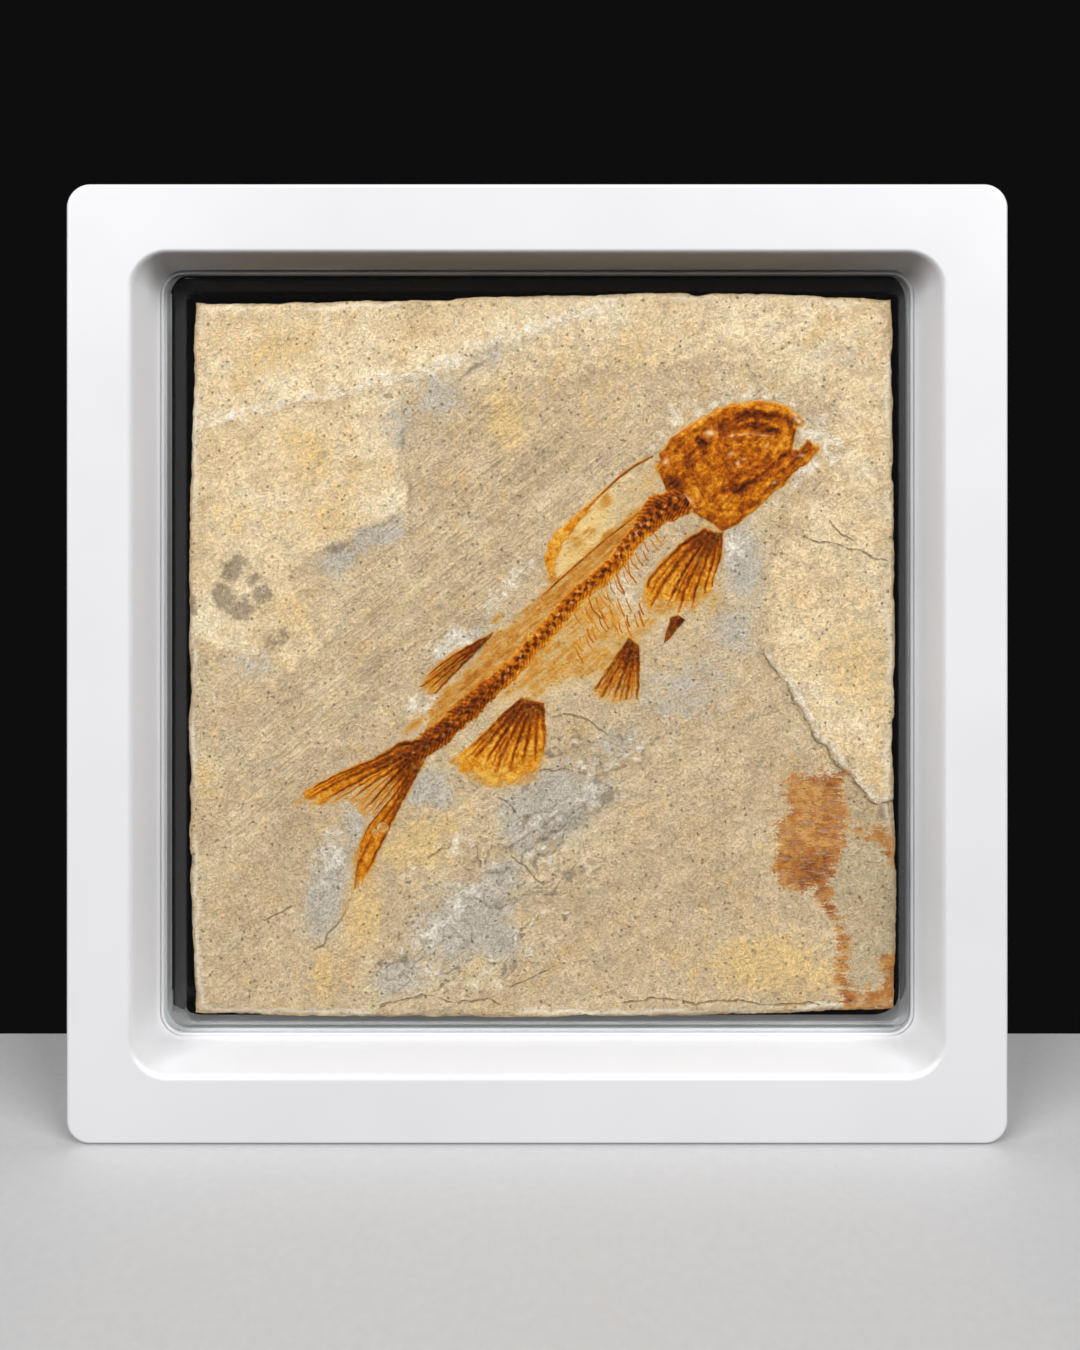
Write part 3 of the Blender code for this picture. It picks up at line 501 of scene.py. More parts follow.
RUST_DARK_SPOTS = [
    (60.6, -47.0, 4.4, 4.6, 0, 1.0), (58.2, -48.6, 3, 2.6, 0, 0.9), (64.6, -27.0, 2.4, 2.6, 0, 0.9),
    (62.6, -46.8, 2.6, 2.8, 0, 0.8), (64.0, -55.4, 2, 3, 40, 0.6), (56.2, -44.0, 4, 3, 0, 0.45),
    (63.4, -36, 4, 5, 0, 0.3), (67.6, -73.6, 2, 3, 0, 0.7), (77.6, -70, 1.6, 4, 0, 0.5),
]


def zone(x, z, outline, softness):
    """1 inside an outline and 0 outside it, with an edge of this width in millimetres."""
    return smooth_between(-softness / 2, softness / 2, to_outline(x, z, outline))


def stone_zones(x, z):
    """The slab's colour zones, among them painted shade and highlight at its steps: each a share from 0 to 1,
    or a distance in millimetres.
    """
    coarse = warped(x, z, 1.6, 6, (61, 67), 3)
    fine = (x + 0.7 * lumps(x, z, 1.8, 71, 2), z + 0.5 * lumps(x, z, 1.8, 73, 2))
    inside, level = flakes(x, z)
    # Painted shade along the foot of each flake's step. On the flakes, a painted highlight runs along the
    # upper edge of each step, over the paler stone of the upper layer.
    under = np.maximum(peak(level + 0.05, 0.05), peak(level - 0.21, 0.045))
    broken = np.maximum(peak(level - 0.09, 0.06), 0.8 * smooth_between(0.30, 0.45, level))
    step, _ = signed_line(*coarse, STEP_LINE)
    edge, start = ledge(x, z)
    halo = 0.6 * peak(-to_outline(*coarse, SKULL_OUTLINE) - 1.6, 1.3)
    halo = halo * smooth_between(34, 44, z + 0.3 * x - 10)
    rust = strongest(
        to_outline(x, z, RUST_OUTLINE),
        to_outline(x, z, RUST_CORNER),
        1.1 - to_line(x, z, RUST_VEIN)[0],
        1.0 - to_line(*fine, RUST_THREAD)[0],
    )
    return {
        "cream": strongest(
            zone(*coarse, CREAM_STONE, 2.4),
            0.72 * zone(*coarse, CREAM_LAYER, 8),
            0.75 * smooth_between(48, 76, z),
        ),
        "yellow": blots(*coarse, YELLOW_SPOTS),
        "grey": np.maximum(blots(*coarse, GREY_SPOTS), 0.3 * zone(*coarse, GREEN_STONE, 2)),
        "green": zone(*coarse, GREEN_STONE, 1.6),
        # Dark: the foot of the flakes' steps is painted shade, and so are some of DARK_SPOTS.
        "dark": np.maximum(blots(*coarse, DARK_SPOTS), 0.8 * under * inside),
        # Pale: the listed spots and the halo round the head are paler stone. The band above the step at top
        # left, the strip along the ledge's crest and the flakes' upper edges are painted highlight.
        "pale": strongest(
            0.6 * peak(step - 1.6, 2.6),
            0.8 * (start * peak(edge - 0.9, 0.9)),
            blots(*fine, PALE_SPOTS),
            halo,
            0.55 * broken * inside,
        ),
        "rust": rust + (0.9 * lumps(x / 6, z, 0.8, 81) + 1.5 * lumps(x, z, 3.0, 83, 3)),
        "rust_dark": 0.7 * blots(*fine, RUST_DARK_SPOTS),
        "scored": zone(x, z, SCORED_STONE, 10),
    }


def crack_and_shadow_lines(x, z):
    """Signed distance to the nearest dark hairline, and how near it is, fading towards the hairline's ends.
    The first is painted shadow along the foot of the ledge at the right.
    """
    # Painted shadow: a dark line along the foot of the ledge at the right.
    edge, start = ledge(x, z)
    signed = edge + 0.15
    near = np.abs(signed) + 0.8 * (1 - start) + 0.5 * smooth_between(-0.1, 0.5, lumps(x, z, 3, 95, 2))
    warp_x, warp_z = warped(x, z, 0.60, 1.8, (91, 93), 3)
    for line in CRACKS_AND_STEP_SHADOWS:
        distance, share, side = to_line(warp_x, warp_z, line)
        closer = distance < near
        signed = np.where(closer, distance * side, signed)
        near = np.where(closer, distance + 0.9 * (1 - fade_ends(share, 0.12, 0.12)), near)
    return signed, near


BACK_STAIN = [
    (26.0, 33.6), (21.0, 32.4), (13.6, 25.6), (4.2, 17.4), (-1.6, 11.6), (-6.0, 6.4), (-10.6, 3.6),
    (-13.6, -0.6), (-20.0, -7.4), (-24.0, -12.6), (-25.0, -17.6), (-18.0, -13.6), (-11.5, -7.4), (-4.9, -1.0),
    (1.8, 6.4), (8.3, 14.2), (16.8, 21.4), (22.8, 28.6),
]
BELLY_STAIN = [
    (2.0, 5.2), (8.6, 12.0), (13.0, 14.6), (17.0, 11.6), (21.6, 8.0), (24.0, 9.6), (27.0, 8.4), (23.4, 4.6),
    (21.4, 3.0), (18.4, 0.6), (15.0, -3.6), (10.6, -4.6), (5.6, -5.8), (1.6, -8.4), (-3.0, -8.6),
    (-9.0, -10.6), (-7.6, -6.2), (-2.6, 0.4),
]
STAIN_SPOTS = [
    (-15.6, -5.6, 6, 2.6, 45, 1.0), (-4.6, 5.6, 6, 2.0, 47, 0.9), (7.0, 2.0, 3.4, 3.4, 0, 0.75),
    (12.6, 1.6, 3.6, 2.6, 0, 0.6), (14.7, 33.7, 2.2, 1.4, 40, 0.9), (12.1, 27.5, 1.6, 1.4, 40, 0.8),
    (-9.0, 8.4, 1.8, 1.0, 50, 0.9), (30.6, 33.0, 5, 2.4, 20, 0.9), (8.4, 24.6, 3.6, 4.6, 40, 0.45),
    (-1.0, -4.4, 3.4, 2.4, 0, 0.35), (26.6, 12.6, 3, 4.4, 20, 0.5), (38.4, 12.4, 2.4, 3.0, 0, 0.4),
    (20, 5, 2, 2, 0, 0.5), (-27, -14.6, 3.4, 1.2, 40, 0.6), (-36.6, -46, 2.4, 5, -10, 0.35),
    (-14.4, -13.8, 3.4, 1.2, 42, 0.45), (24.8, 38.4, 2, 3, 0, 0.35), (-17.8, 0.6, 4, 1.4, 32, 0.5),
    (6.6, -6.6, 3, 2, 0, 0.2), (-20.4, -16.4, 4, 1.8, 42, 0.6),
]


def fish_stain(x, z):
    """How strongly the stone is stained amber where the soft body lay."""
    place = warped(x, z, 0.9, 3, (101, 103), 3)
    distance, share, _ = to_line(*place, FRONT_DORSAL_EDGE)
    total = strongest(
        0.68 * zone(*place, BACK_STAIN, 2.0),
        0.50 * zone(*place, BELLY_STAIN, 4.0),
        blots(*place, STAIN_SPOTS),
        0.55 * smooth_between(-1.3, 0.5, to_outline(*place, SKULL_OUTLINE)),
        (0.25 + 0.45 * smooth_between(0.3, 0.8, share)) * peak(distance, 1.3),
    )
    for rays in (TAIL_FIN, PECTORAL_FIN, PELVIC_FIN, ANAL_FIN, REAR_DORSAL_FIN):
        outline = rays[0] + [ray[-1] for ray in rays[1:-1]] + rays[-1][::-1]
        total = np.maximum(total, 0.50 * smooth_between(-1.2, 0.3, to_outline(*place, outline)))
    return total


def straw_stain(x, z):
    """How strongly the stone is stained straw yellow under the front dorsal fin and in the belly."""
    place = warped(x, z, 0.9, 3, (105, 107), 3)
    web = zone(*place, FRONT_DORSAL_WEB, 1.4) * (1 - 0.75 * smooth_between(12, 19, x))
    return np.clip(0.95 * web + 0.45 * zone(*place, BELLY_STAIN, 5.0), 0, 1)


# ---------------------------------------------------------------- building with Blender's tools


def deselect_all():
    if bpy.context.mode != "OBJECT":
        bpy.ops.object.mode_set(mode="OBJECT")
    bpy.ops.object.select_all(action="DESELECT")


def select_only(*objects):
    deselect_all()
    for obj in objects:
        obj.select_set(True)
    bpy.context.view_layer.objects.active = objects[0]


def pick(obj, kind, test):
    """In edit mode, select only the edges or faces that pass the test."""
    bpy.ops.mesh.select_mode(type=kind)
    bpy.ops.mesh.select_all(action="DESELECT")
    shape = bmesh.from_edit_mesh(obj.data)
    for item in {"EDGE": shape.edges, "FACE": shape.faces}[kind]:
        if test(item):
            item.select_set(True)
    shape.select_flush_mode()
    bmesh.update_edit_mesh(obj.data)


def rounded_plate(name, half_w, half_h, radius, depth, side):
    """A flat plate with rounded corners that faces away from the frame's middle, left in edit mode."""
    deselect_all()
    bpy.ops.mesh.primitive_plane_add(
        size=1, location=(0, side * depth, FRAME_HALF_H), rotation=(math.radians(-90 * side), 0, 0)
    )
    plate = bpy.context.object
    plate.name = plate.data.name = name
    plate.scale = (2 * half_w, 2 * half_h, 1)
    bpy.ops.object.transform_apply(location=True, rotation=True, scale=True)
    bpy.ops.object.mode_set(mode="EDIT")
    bpy.ops.mesh.select_all(action="SELECT")
    bpy.ops.mesh.bevel(offset=radius, segments=CORNER_STEPS, affect="VERTICES")
    bpy.ops.mesh.select_all(action="SELECT")
    return plate


def push(side, distance):
    """Extrude what is selected straight away from the frame's middle, or towards it if negative."""
    bpy.ops.mesh.extrude_region_move(TRANSFORM_OT_translate={"value": (0, side * distance, 0)})


def drop_caps(obj):
    """Delete the faces with many corners, which close the ends of an extrusion."""
    pick(obj, "FACE", lambda face: len(face.verts) > 4)
    bpy.ops.mesh.delete(type="ONLY_FACE")
    bpy.ops.object.mode_set(mode="OBJECT")


def pick_open_edges(obj):
    """Enter edit mode with only the edges selected that a single face uses."""
    bpy.context.view_layer.objects.active = obj
    bpy.ops.object.mode_set(mode="EDIT")
    pick(obj, "EDGE", lambda edge: edge.is_boundary)


def turn_outwards():
    """Make every normal point outwards, and leave edit mode."""
    bpy.ops.mesh.select_all(action="SELECT")
    bpy.ops.mesh.normals_make_consistent(inside=False)
    bpy.ops.object.mode_set(mode="OBJECT")


def in_plane(y):
    """A test for edges that lie at this depth."""
    return lambda edge: all(abs(vert.co.y - y) < SAME_PLANE for vert in edge.verts)


def join(objects):
    select_only(*objects)
    bpy.ops.object.join()
    return objects[0]


def smooth_piece(obj, degrees):
    """Smooth shading, with hard edges only where the surface turns by more than this."""
    select_only(obj)
    bpy.ops.object.shade_smooth_by_angle(angle=math.radians(degrees))


def apply_modifier(obj, kind, **settings):
    select_only(obj)
    modifier = obj.modifiers.new(kind.lower(), kind)
    for key, value in settings.items():
        setattr(modifier, key, value)
    bpy.ops.object.modifier_apply(modifier=modifier.name)


def opening_plate(name, grow, depth, side):
    """A plate in the shape of the frame's opening, larger by this much all round."""
    return rounded_plate(
        name, OPENING_HALF_W + grow, OPENING_HALF_H + grow, OPENING_RADIUS + grow, depth, side
    )


def frame_moulding(name, side):
    """One half of the frame: outer walls, sloped opening with its groove and lip, and film rebate."""
    outer = rounded_plate(name, FRAME_HALF_W, FRAME_HALF_H, OUTER_RADIUS, GAP / 2, side)
    push(side, HALF_DEPTH - GAP / 2)
    pick(outer, "EDGE", in_plane(side * HALF_DEPTH))
    bpy.ops.mesh.bevel(offset=OUTER_ROUND, segments=ROUND_STEPS, affect="EDGES")
    pick(outer, "EDGE", in_plane(side * GAP / 2))
    bpy.ops.mesh.bevel(offset=PARTING_BEVEL, segments=2, affect="EDGES")
    drop_caps(outer)

    bore = opening_plate(name + "_bore", 0, HALF_DEPTH, side)
    turns = [math.radians(90 * step / ROUND_STEPS) for step in range(ROUND_STEPS + 1)]
    for last, turn in zip(turns, turns[1:]):
        run = OPENING_ROUND_RUN * (math.sin(turn) - math.sin(last))
        rise = OPENING_ROUND_DEPTH * (math.cos(last) - math.cos(turn))
        bpy.ops.mesh.inset(thickness=run, depth=-rise)
    slope_depth = HALF_DEPTH - OPENING_ROUND_DEPTH - LIP_FRONT
    bpy.ops.mesh.inset(thickness=SLOPE_FOOT_RUN - OPENING_ROUND_RUN, depth=-slope_depth)
    push(side, GROOVE_FLOOR - LIP_FRONT)
    bpy.ops.mesh.inset(thickness=GROOVE_WIDTH)
    push(side, LIP_FRONT - LIP_ROUND - GROOVE_FLOOR)
    bpy.ops.mesh.inset(thickness=LIP_ROUND, depth=LIP_ROUND)
    bpy.ops.mesh.inset(thickness=LIP_WIDTH - 2 * LIP_ROUND)
    bpy.ops.mesh.inset(thickness=LIP_ROUND, depth=-LIP_ROUND)
    push(side, RIM_BACK - LIP_FRONT + LIP_ROUND)
    drop_caps(bore)

    rebate = FILM_RIM_OVERLAP + GAP
    seat = opening_plate(name + "_seat", rebate - LIP_RUN, GAP / 2, side)
    push(side, RIM_BACK - GAP / 2)
    bpy.ops.mesh.inset(thickness=rebate)
    drop_caps(seat)

    piece = join([outer, bore, seat])
    bpy.ops.object.mode_set(mode="EDIT")
    bpy.ops.mesh.select_all(action="SELECT")
    bpy.ops.mesh.remove_doubles(threshold=MERGE_DISTANCE)
    for flat in (in_plane(side * HALF_DEPTH), in_plane(side * GAP / 2)):
        pick(piece, "EDGE", lambda edge: edge.is_boundary and flat(edge))
        bpy.ops.mesh.fill()
    turn_outwards()
    smooth_piece(piece, 38)
    apply_modifier(piece, "WEIGHTED_NORMAL", keep_sharp=True)
    return piece


def film_sheet(name, side):
    """A clear sheet clamped by its rim and stretched over the slab, with slanted walls all round."""
    sheet = opening_plate(name, FILM_RIM_OVERLAP - LIP_RUN, FILM_RIM_DEPTH, side)
    run, rise = FILM_BEND
    bpy.ops.mesh.inset(thickness=FILM_RIM_OVERLAP - run)
    bpy.ops.mesh.inset(thickness=run + GAP / 2, depth=rise)
    run, rise = FILM_FOOT
    for share in (0.35, 0.65):
        bpy.ops.mesh.inset(thickness=run / 2, depth=rise * share)
    bpy.ops.transform.translate(value=(SLAB_MIDDLE_X * MM * FOOT_FOLLOWS, 0, 0))
    drop_caps(sheet)

    run, rise = FILM_SHOULDER
    half_w, half_h = SLAB_HALF_W * MM + GAP, SLAB_HALF_H * MM + GAP
    top = rounded_plate(name + "_top", half_w, half_h, FILM_TOP_RADIUS, FILM_TOP_DEPTH - rise, side)
    bpy.ops.transform.translate(value=(SLAB_MIDDLE_X * MM, 0, SLAB_MIDDLE_Z * MM))
    for share in (0.7, 0.3):
        bpy.ops.mesh.inset(thickness=run / 2, depth=rise * share)
    bpy.ops.object.mode_set(mode="OBJECT")

    sheet = join([sheet, top])
    bpy.ops.object.mode_set(mode="EDIT")
    rim = in_plane(side * FILM_RIM_DEPTH)
    pick(sheet, "EDGE", lambda edge: edge.is_boundary and not rim(edge))
    bpy.ops.mesh.bridge_edge_loops()
    turn_outwards()
    apply_modifier(sheet, "SOLIDIFY", thickness=FILM_SHEET, offset=-1.0)
    smooth_piece(sheet, 40)
    apply_modifier(sheet, "WEIGHTED_NORMAL", keep_sharp=True)
    return sheet


def mesh_points(mesh):
    points = np.empty(len(mesh.vertices) * 3)
    mesh.vertices.foreach_get("co", points)
    return points.reshape(-1, 3)


def set_points(mesh, points):
    mesh.vertices.foreach_set("co", np.ascontiguousarray(points, float).ravel())
    mesh.update()


def paint(mesh, **fields):
    """Store one number for each point of the mesh, for its material to read."""
    for name, values in fields.items():
        layer = mesh.attributes.new(name, "FLOAT", "POINT")
        layer.data.foreach_set("value", np.ascontiguousarray(values, np.float32))


def new_grid(name, cells_u, cells_v):
    """A square grid from 0 to 1 each way, ready to be shaped. Returns it with its u and v."""
    deselect_all()
    bpy.ops.mesh.primitive_grid_add(x_subdivisions=cells_u, y_subdivisions=cells_v, size=1)
    grid = bpy.context.object
    grid.name = grid.data.name = name
    points = mesh_points(grid.data)
    return grid, points[:, 0] + 0.5, points[:, 1] + 0.5


def slab_place(u, v):
    """x and z on the slab for shares of its width and height, blended from its four edges."""
    u, v = u[:, None], v[:, None]
    left, right = along(SLAB_LEFT, v[:, 0]), along(SLAB_RIGHT, v[:, 0])
    bottom, top = along(SLAB_BOTTOM, u[:, 0]), along(SLAB_TOP, u[:, 0])
    corners = [np.array(point) for point in (SLAB_BOTTOM[0], SLAB_BOTTOM[-1], SLAB_TOP[0], SLAB_TOP[-1])]
    weights = ((1 - u) * (1 - v), u * (1 - v), (1 - u) * v, u * v)
    corner_part = sum(corner * weight for corner, weight in zip(corners, weights))
    place = left * (1 - u) + right * u + bottom * (1 - v) + top * v - corner_part
    return place[:, 0], place[:, 1]


def place_points(obj, x, depth, z):
    """Put an object's points at x, depth and z, in millimetres from the frame's middle."""
    depth = np.broadcast_to(depth, x.shape)
    set_points(obj.data, np.stack([x * MM, depth * MM, FRAME_HALF_H + z * MM], -1))


def slab_solid():
    """A fine grid for the slab's face, straight sides and a coarser back, as one closed piece."""
    face, u, v = new_grid("limestone_slab", *(FACE_CELLS_EACH * cells for cells in BACK_CELLS))
    x, z = slab_place(u, v)
    place_points(face, x, -SLAB_FACE, z)
    pick_open_edges(face)
    for _ in range(SIDE_ROWS - 1):
        push(1, 2 * SLAB_FACE * MM / SIDE_ROWS)
    bpy.ops.object.mode_set(mode="OBJECT")

    back, u, v = new_grid("slab_back", *BACK_CELLS)
    x, z = slab_place(u, v)
    place_points(back, x, SLAB_FACE, z)
    pick_open_edges(back)
    bpy.ops.mesh.subdivide(number_cuts=FACE_CELLS_EACH - 1)
    bpy.ops.object.mode_set(mode="OBJECT")
    slab = join([face, back])
    pick_open_edges(slab)
    bpy.ops.mesh.bridge_edge_loops()
    turn_outwards()
    return slab


def stone_slab():
    """The slab, with its relief, chipped rim and rough broken sides, and the fields of its material."""
    slab = slab_solid()
    points = mesh_points(slab.data)
    x, y, z = points[:, 0] / MM, points[:, 1] / MM, (points[:, 2] - FRAME_HALF_H) / MM
    edge = np.abs(to_outline(x, z, SLAB_OUTLINE))
    front, rear = y < -SLAB_FACE + 0.01, y > SLAB_FACE - 0.01
    side = ~(front | rear)
    height = stone_height(x, z) - rim_drop(x, z, edge)
    back_height = 0.2 * lumps(x, z, 22, 111, 3) + 0.1 * lumps(x, z, 5, 113, 2) - rim_drop(-x, z, edge) - 0.1
    points[front, 1] = -(SLAB_FACE + height[front]) * MM
    points[rear, 1] = (SLAB_FACE + np.minimum(back_height[rear], BACK_HIGHEST)) * MM

    # The sides are worn back in layers, and the face's rim is nibbled.
    layers = lumps(x + z, y, 2.4, 121, 2) + 0.8 * lumps(x + z, y * 3, 9, 123)
    nibbled = 0.75 * np.clip(lumps(x, z, 5, 125, 2), 0, 1) + 0.30 * np.abs(lumps(x, z, 1.3, 127, 2))
    nibbled = nibbled * (1 - edge / RIM_WIDTH) ** 2
    flat_x, flat_z = np.abs(x - SLAB_MIDDLE_X) / SLAB_HALF_W, np.abs(z - SLAB_MIDDLE_Z) / SLAB_HALF_H
    for where, inward in ((side, 0.5 + 0.5 * layers), (front & (edge < RIM_WIDTH), nibbled)):
        inward = np.where(where, inward, 0) * MM
        points[:, 0] -= np.where(flat_x >= flat_z, np.sign(x) * inward, 0)
        points[:, 2] -= np.where(flat_z > flat_x, np.sign(z) * inward, 0)
    set_points(slab.data, points)

    zones = stone_zones(x, z)
    zones["stain"], zones["straw"] = fish_stain(x, z), straw_stain(x, z)
    zones["crack_and_shadow"], zones["crack_and_shadow_near"] = crack_and_shadow_lines(x, z)
    # A brown band along the broken edge and down the sides: partly worn stone, partly painted shade on the
    # chipped rim.
    weathered_and_shaded = 0.6 + 1.6 * np.abs(lumps(x, z, 8, 131, 2))
    zones["rim"] = (1 - smooth_between(0, 1, edge / weathered_and_shaded)) * (front | side)
    # A pale line along the chips' crest: partly newly broken stone, partly painted highlight.
    crest = 0.9 + 1.5 * np.abs(lumps(x, z, 7, 133, 2)) + 0.3 * lumps(x, z, 1.5, 135, 2)
    fresh_and_lit = lumps(x, z, 11, 137, 2) + 0.25 * (z > 70) * (x < -30) + 0.2 * (z < -72)
    zones["chip"] = 0.95 * peak(edge - crest, 0.42) * smooth_between(-0.25, 0.25, fresh_and_lit)
    for name in ("dark", "green", "scored", "stain", "straw", "chip"):
        zones[name] = zones[name] * front
    zones["rust"] = np.where(front, zones["rust"], zones["rust"] - LESS_RUST)
    zones["crack_and_shadow_near"] = np.where(front, zones["crack_and_shadow_near"], FAR_FROM_CRACKS_AND_SHADOWS)
    paint(slab.data, **zones)
    smooth_piece(slab, 60)
    return slab


# ---------------------------------------------------------------- the fish


BURY = 0.45  # depth of a piece's rim in the stone, in millimetres
SKIRT = 0.8 * MM
FIN_MARGIN = 0.4  # how far a fin's grid goes past its outer rays, in gaps between rays


def sink_rim(height, edge, lip, slope, dive):
    """Slope a piece down towards its rim, and take what is past the rim into the stone."""
    return np.where(edge > 0, np.minimum(height, lip + slope * edge), np.maximum(edge * dive, -1) * BURY)


def settle(obj, x, z, height):
    """Set a fish piece's points on the slab's face, standing out of the stone by this height."""
    place_points(obj, x, -(SLAB_FACE + stone_height(x, z) + height), z)


def close_underside(obj):
    """Extrude the rim into the stone and close it, so that the piece is a whole solid."""
    pick_open_edges(obj)
    push(1, SKIRT)
    bpy.ops.mesh.edge_face_add()
    turn_outwards()
    smooth_piece(obj, 70)


def fin(name, rays, radius, raised_until=0.9, open_from=None, notches=(), web_tone=0.88, cells=(11, 90)):
    """A fan of bony rays with a thin web between them, sunk at its edges into the stone. Past the share
    of its length that open_from gives for each gap, the web is gone and the stone shows."""
    gaps = len(rays) - 1
    grid, u, v = new_grid(name, gaps * cells[0], cells[1])
    # Where each point lies across the rays, with the grid drawn together at them, and along them.
    across = -FIN_MARGIN + u * (gaps + 2 * FIN_MARGIN)
    crowd = across - np.floor(across)
    across = np.floor(across) + crowd - 0.11 * np.sin(2 * math.pi * crowd)
    length = -0.02 + 1.08 * v
    lines = np.stack([along(ray, np.clip(length, 0, 1)) for ray in rays])
    first = np.clip(np.floor(across).astype(int), 0, gaps - 1)
    part = (across - first)[:, None]
    index = np.arange(len(across))
    low, high = lines[first, index], lines[first + 1, index]
    beyond = np.clip(length - 1, 0, None) + np.clip(length, None, 0)
    heading = np.diff(along(rays[gaps // 2], np.array([0.1, 0.9])), axis=0)
    place = low * (1 - part) + high * part + beyond[:, None] * heading
    x, z = warped(place[:, 0], place[:, 1], 0.14, 1.1, (201, 203))
    spacing = np.hypot(*(high - low).T)

    # The rays, and the finer branches between them further out.
    ray = np.clip(np.round(across), 0, gaps)
    branch = np.clip(np.floor(across), 0, gaps - 1) + 0.5
    uneven = lumps(ray * 7.3, np.ones(ray.shape), 3, 207)
    strand = lumps(across * 3.4, length * 1.5, 1, 215)
    until = raised_until + 0.16 * uneven + 0.06 * lumps(x, z, 1.3, 205, 2)
    taper = 1.25 - 0.70 * np.clip(length, 0, 1)
    thickness = radius * taper * (1 + 0.25 * uneven + 0.40 * lumps(x, z, 0.8, 209, 2))
    thin = 0.6 * radius * (1 + 0.40 * lumps(x, z, 0.8, 217, 2))
    off_ray, off_branch = np.abs(across - ray) * spacing, np.abs(across - branch) * spacing
    bony = 1 - smooth_between(until - 0.15, until + 0.05, length)
    forked = bony * smooth_between(0.28, 0.5, length) * smooth_between(-0.35, 0.15, strand)
    profile = np.maximum(round_top(off_ray, thickness) * bony, 0.6 * round_top(off_branch, thin) * forked)

    # How far inside the fin's ragged outline each point is.
    outside = np.maximum(np.clip(-across, 0, None), np.clip(across - gaps, 0, None))
    outside = outside * np.maximum(spacing, 0.8)
    ragged_tip = 0.96 + 0.08 * strand + 0.06 * uneven
    edge = np.minimum(0.42 - outside + 0.34 * lumps(x, z, 0.9, 211, 3), (ragged_tip - length) * 12)
    edge = np.minimum(edge, (length + 0.01) * 20)
    if open_from:
        starts = np.array(open_from)[first] + 0.10 * lumps(x, z, 1.6, 212, 2)
        bare = 0.9 * thickness - np.minimum(off_ray, off_branch + 0.15)
        edge = np.minimum(edge, bare + np.clip(starts - length, 0, None) * 12)
    for notch_x, notch_z, notch_radius in notches:
        away = np.hypot(x - notch_x, z - notch_z) - notch_radius + 0.35 * lumps(x, z, 0.9, 214, 2)
        edge = np.minimum(edge, away)

    height = 0.07 + 0.05 * lumps(x, z, 0.8, 213, 2) + 0.30 * profile * thickness / radius
    stroke = peak(off_ray, thickness * 1.05) * bony
    stroke = np.maximum(stroke, 0.8 * peak(off_branch, thin * 1.05) * forked)
    root = peak(np.clip(length, 0, 1), 0.30)
    ray_tone = 0.23 + 0.10 * uneven + 0.10 * length + 0.14 * lumps(across * 2, length * 5, 1, 219, 2)
    web = web_tone + 0.10 * strand - 0.28 * root + 0.10 * lumps(x, z, 2.2, 216, 2)
    settle(grid, x, z, sink_rim(height, edge, 0.02, 0.9, 2.0))
    paint(
        grid.data,
        tone=np.clip(web + (ray_tone - web) * np.clip(stroke + 0.18 * root, 0, 1), 0, 1),
        fade=smooth_between(0.0, 0.5, edge),
    )
    close_underside(grid)
    return grid


def strip(name, line, cells, half_width, shape):
    """A long narrow piece along a line. shape gives its height and colours from its own measures."""
    grid, u, v = new_grid(name, *cells)
    total = line_length(line)
    centre = along(line, u)
    step = 2.0 / total
    heading = along(line, np.clip(u + step, 0, 1)) - along(line, np.clip(u - step, 0, 1))
    heading /= np.hypot(heading[:, 0], heading[:, 1])[:, None]
    across = (v - 0.5) * 2 * half_width
    x = centre[:, 0] - heading[:, 1] * across
    z = centre[:, 1] + heading[:, 0] * across
    height, fields = shape(u * total, across, total, x, z)
    at_end = np.minimum(u, 1 - u) * total < 0.4
    settle(grid, x, z, np.where(at_end, -BURY, height))
    paint(grid.data, **fields)
    close_underside(grid)
    return grid


# Along the backbone, in millimetres
VERTEBRA_PITCH = 2.1
NECK_LENGTH = 17.0
TAIL_ROOT = 62.0


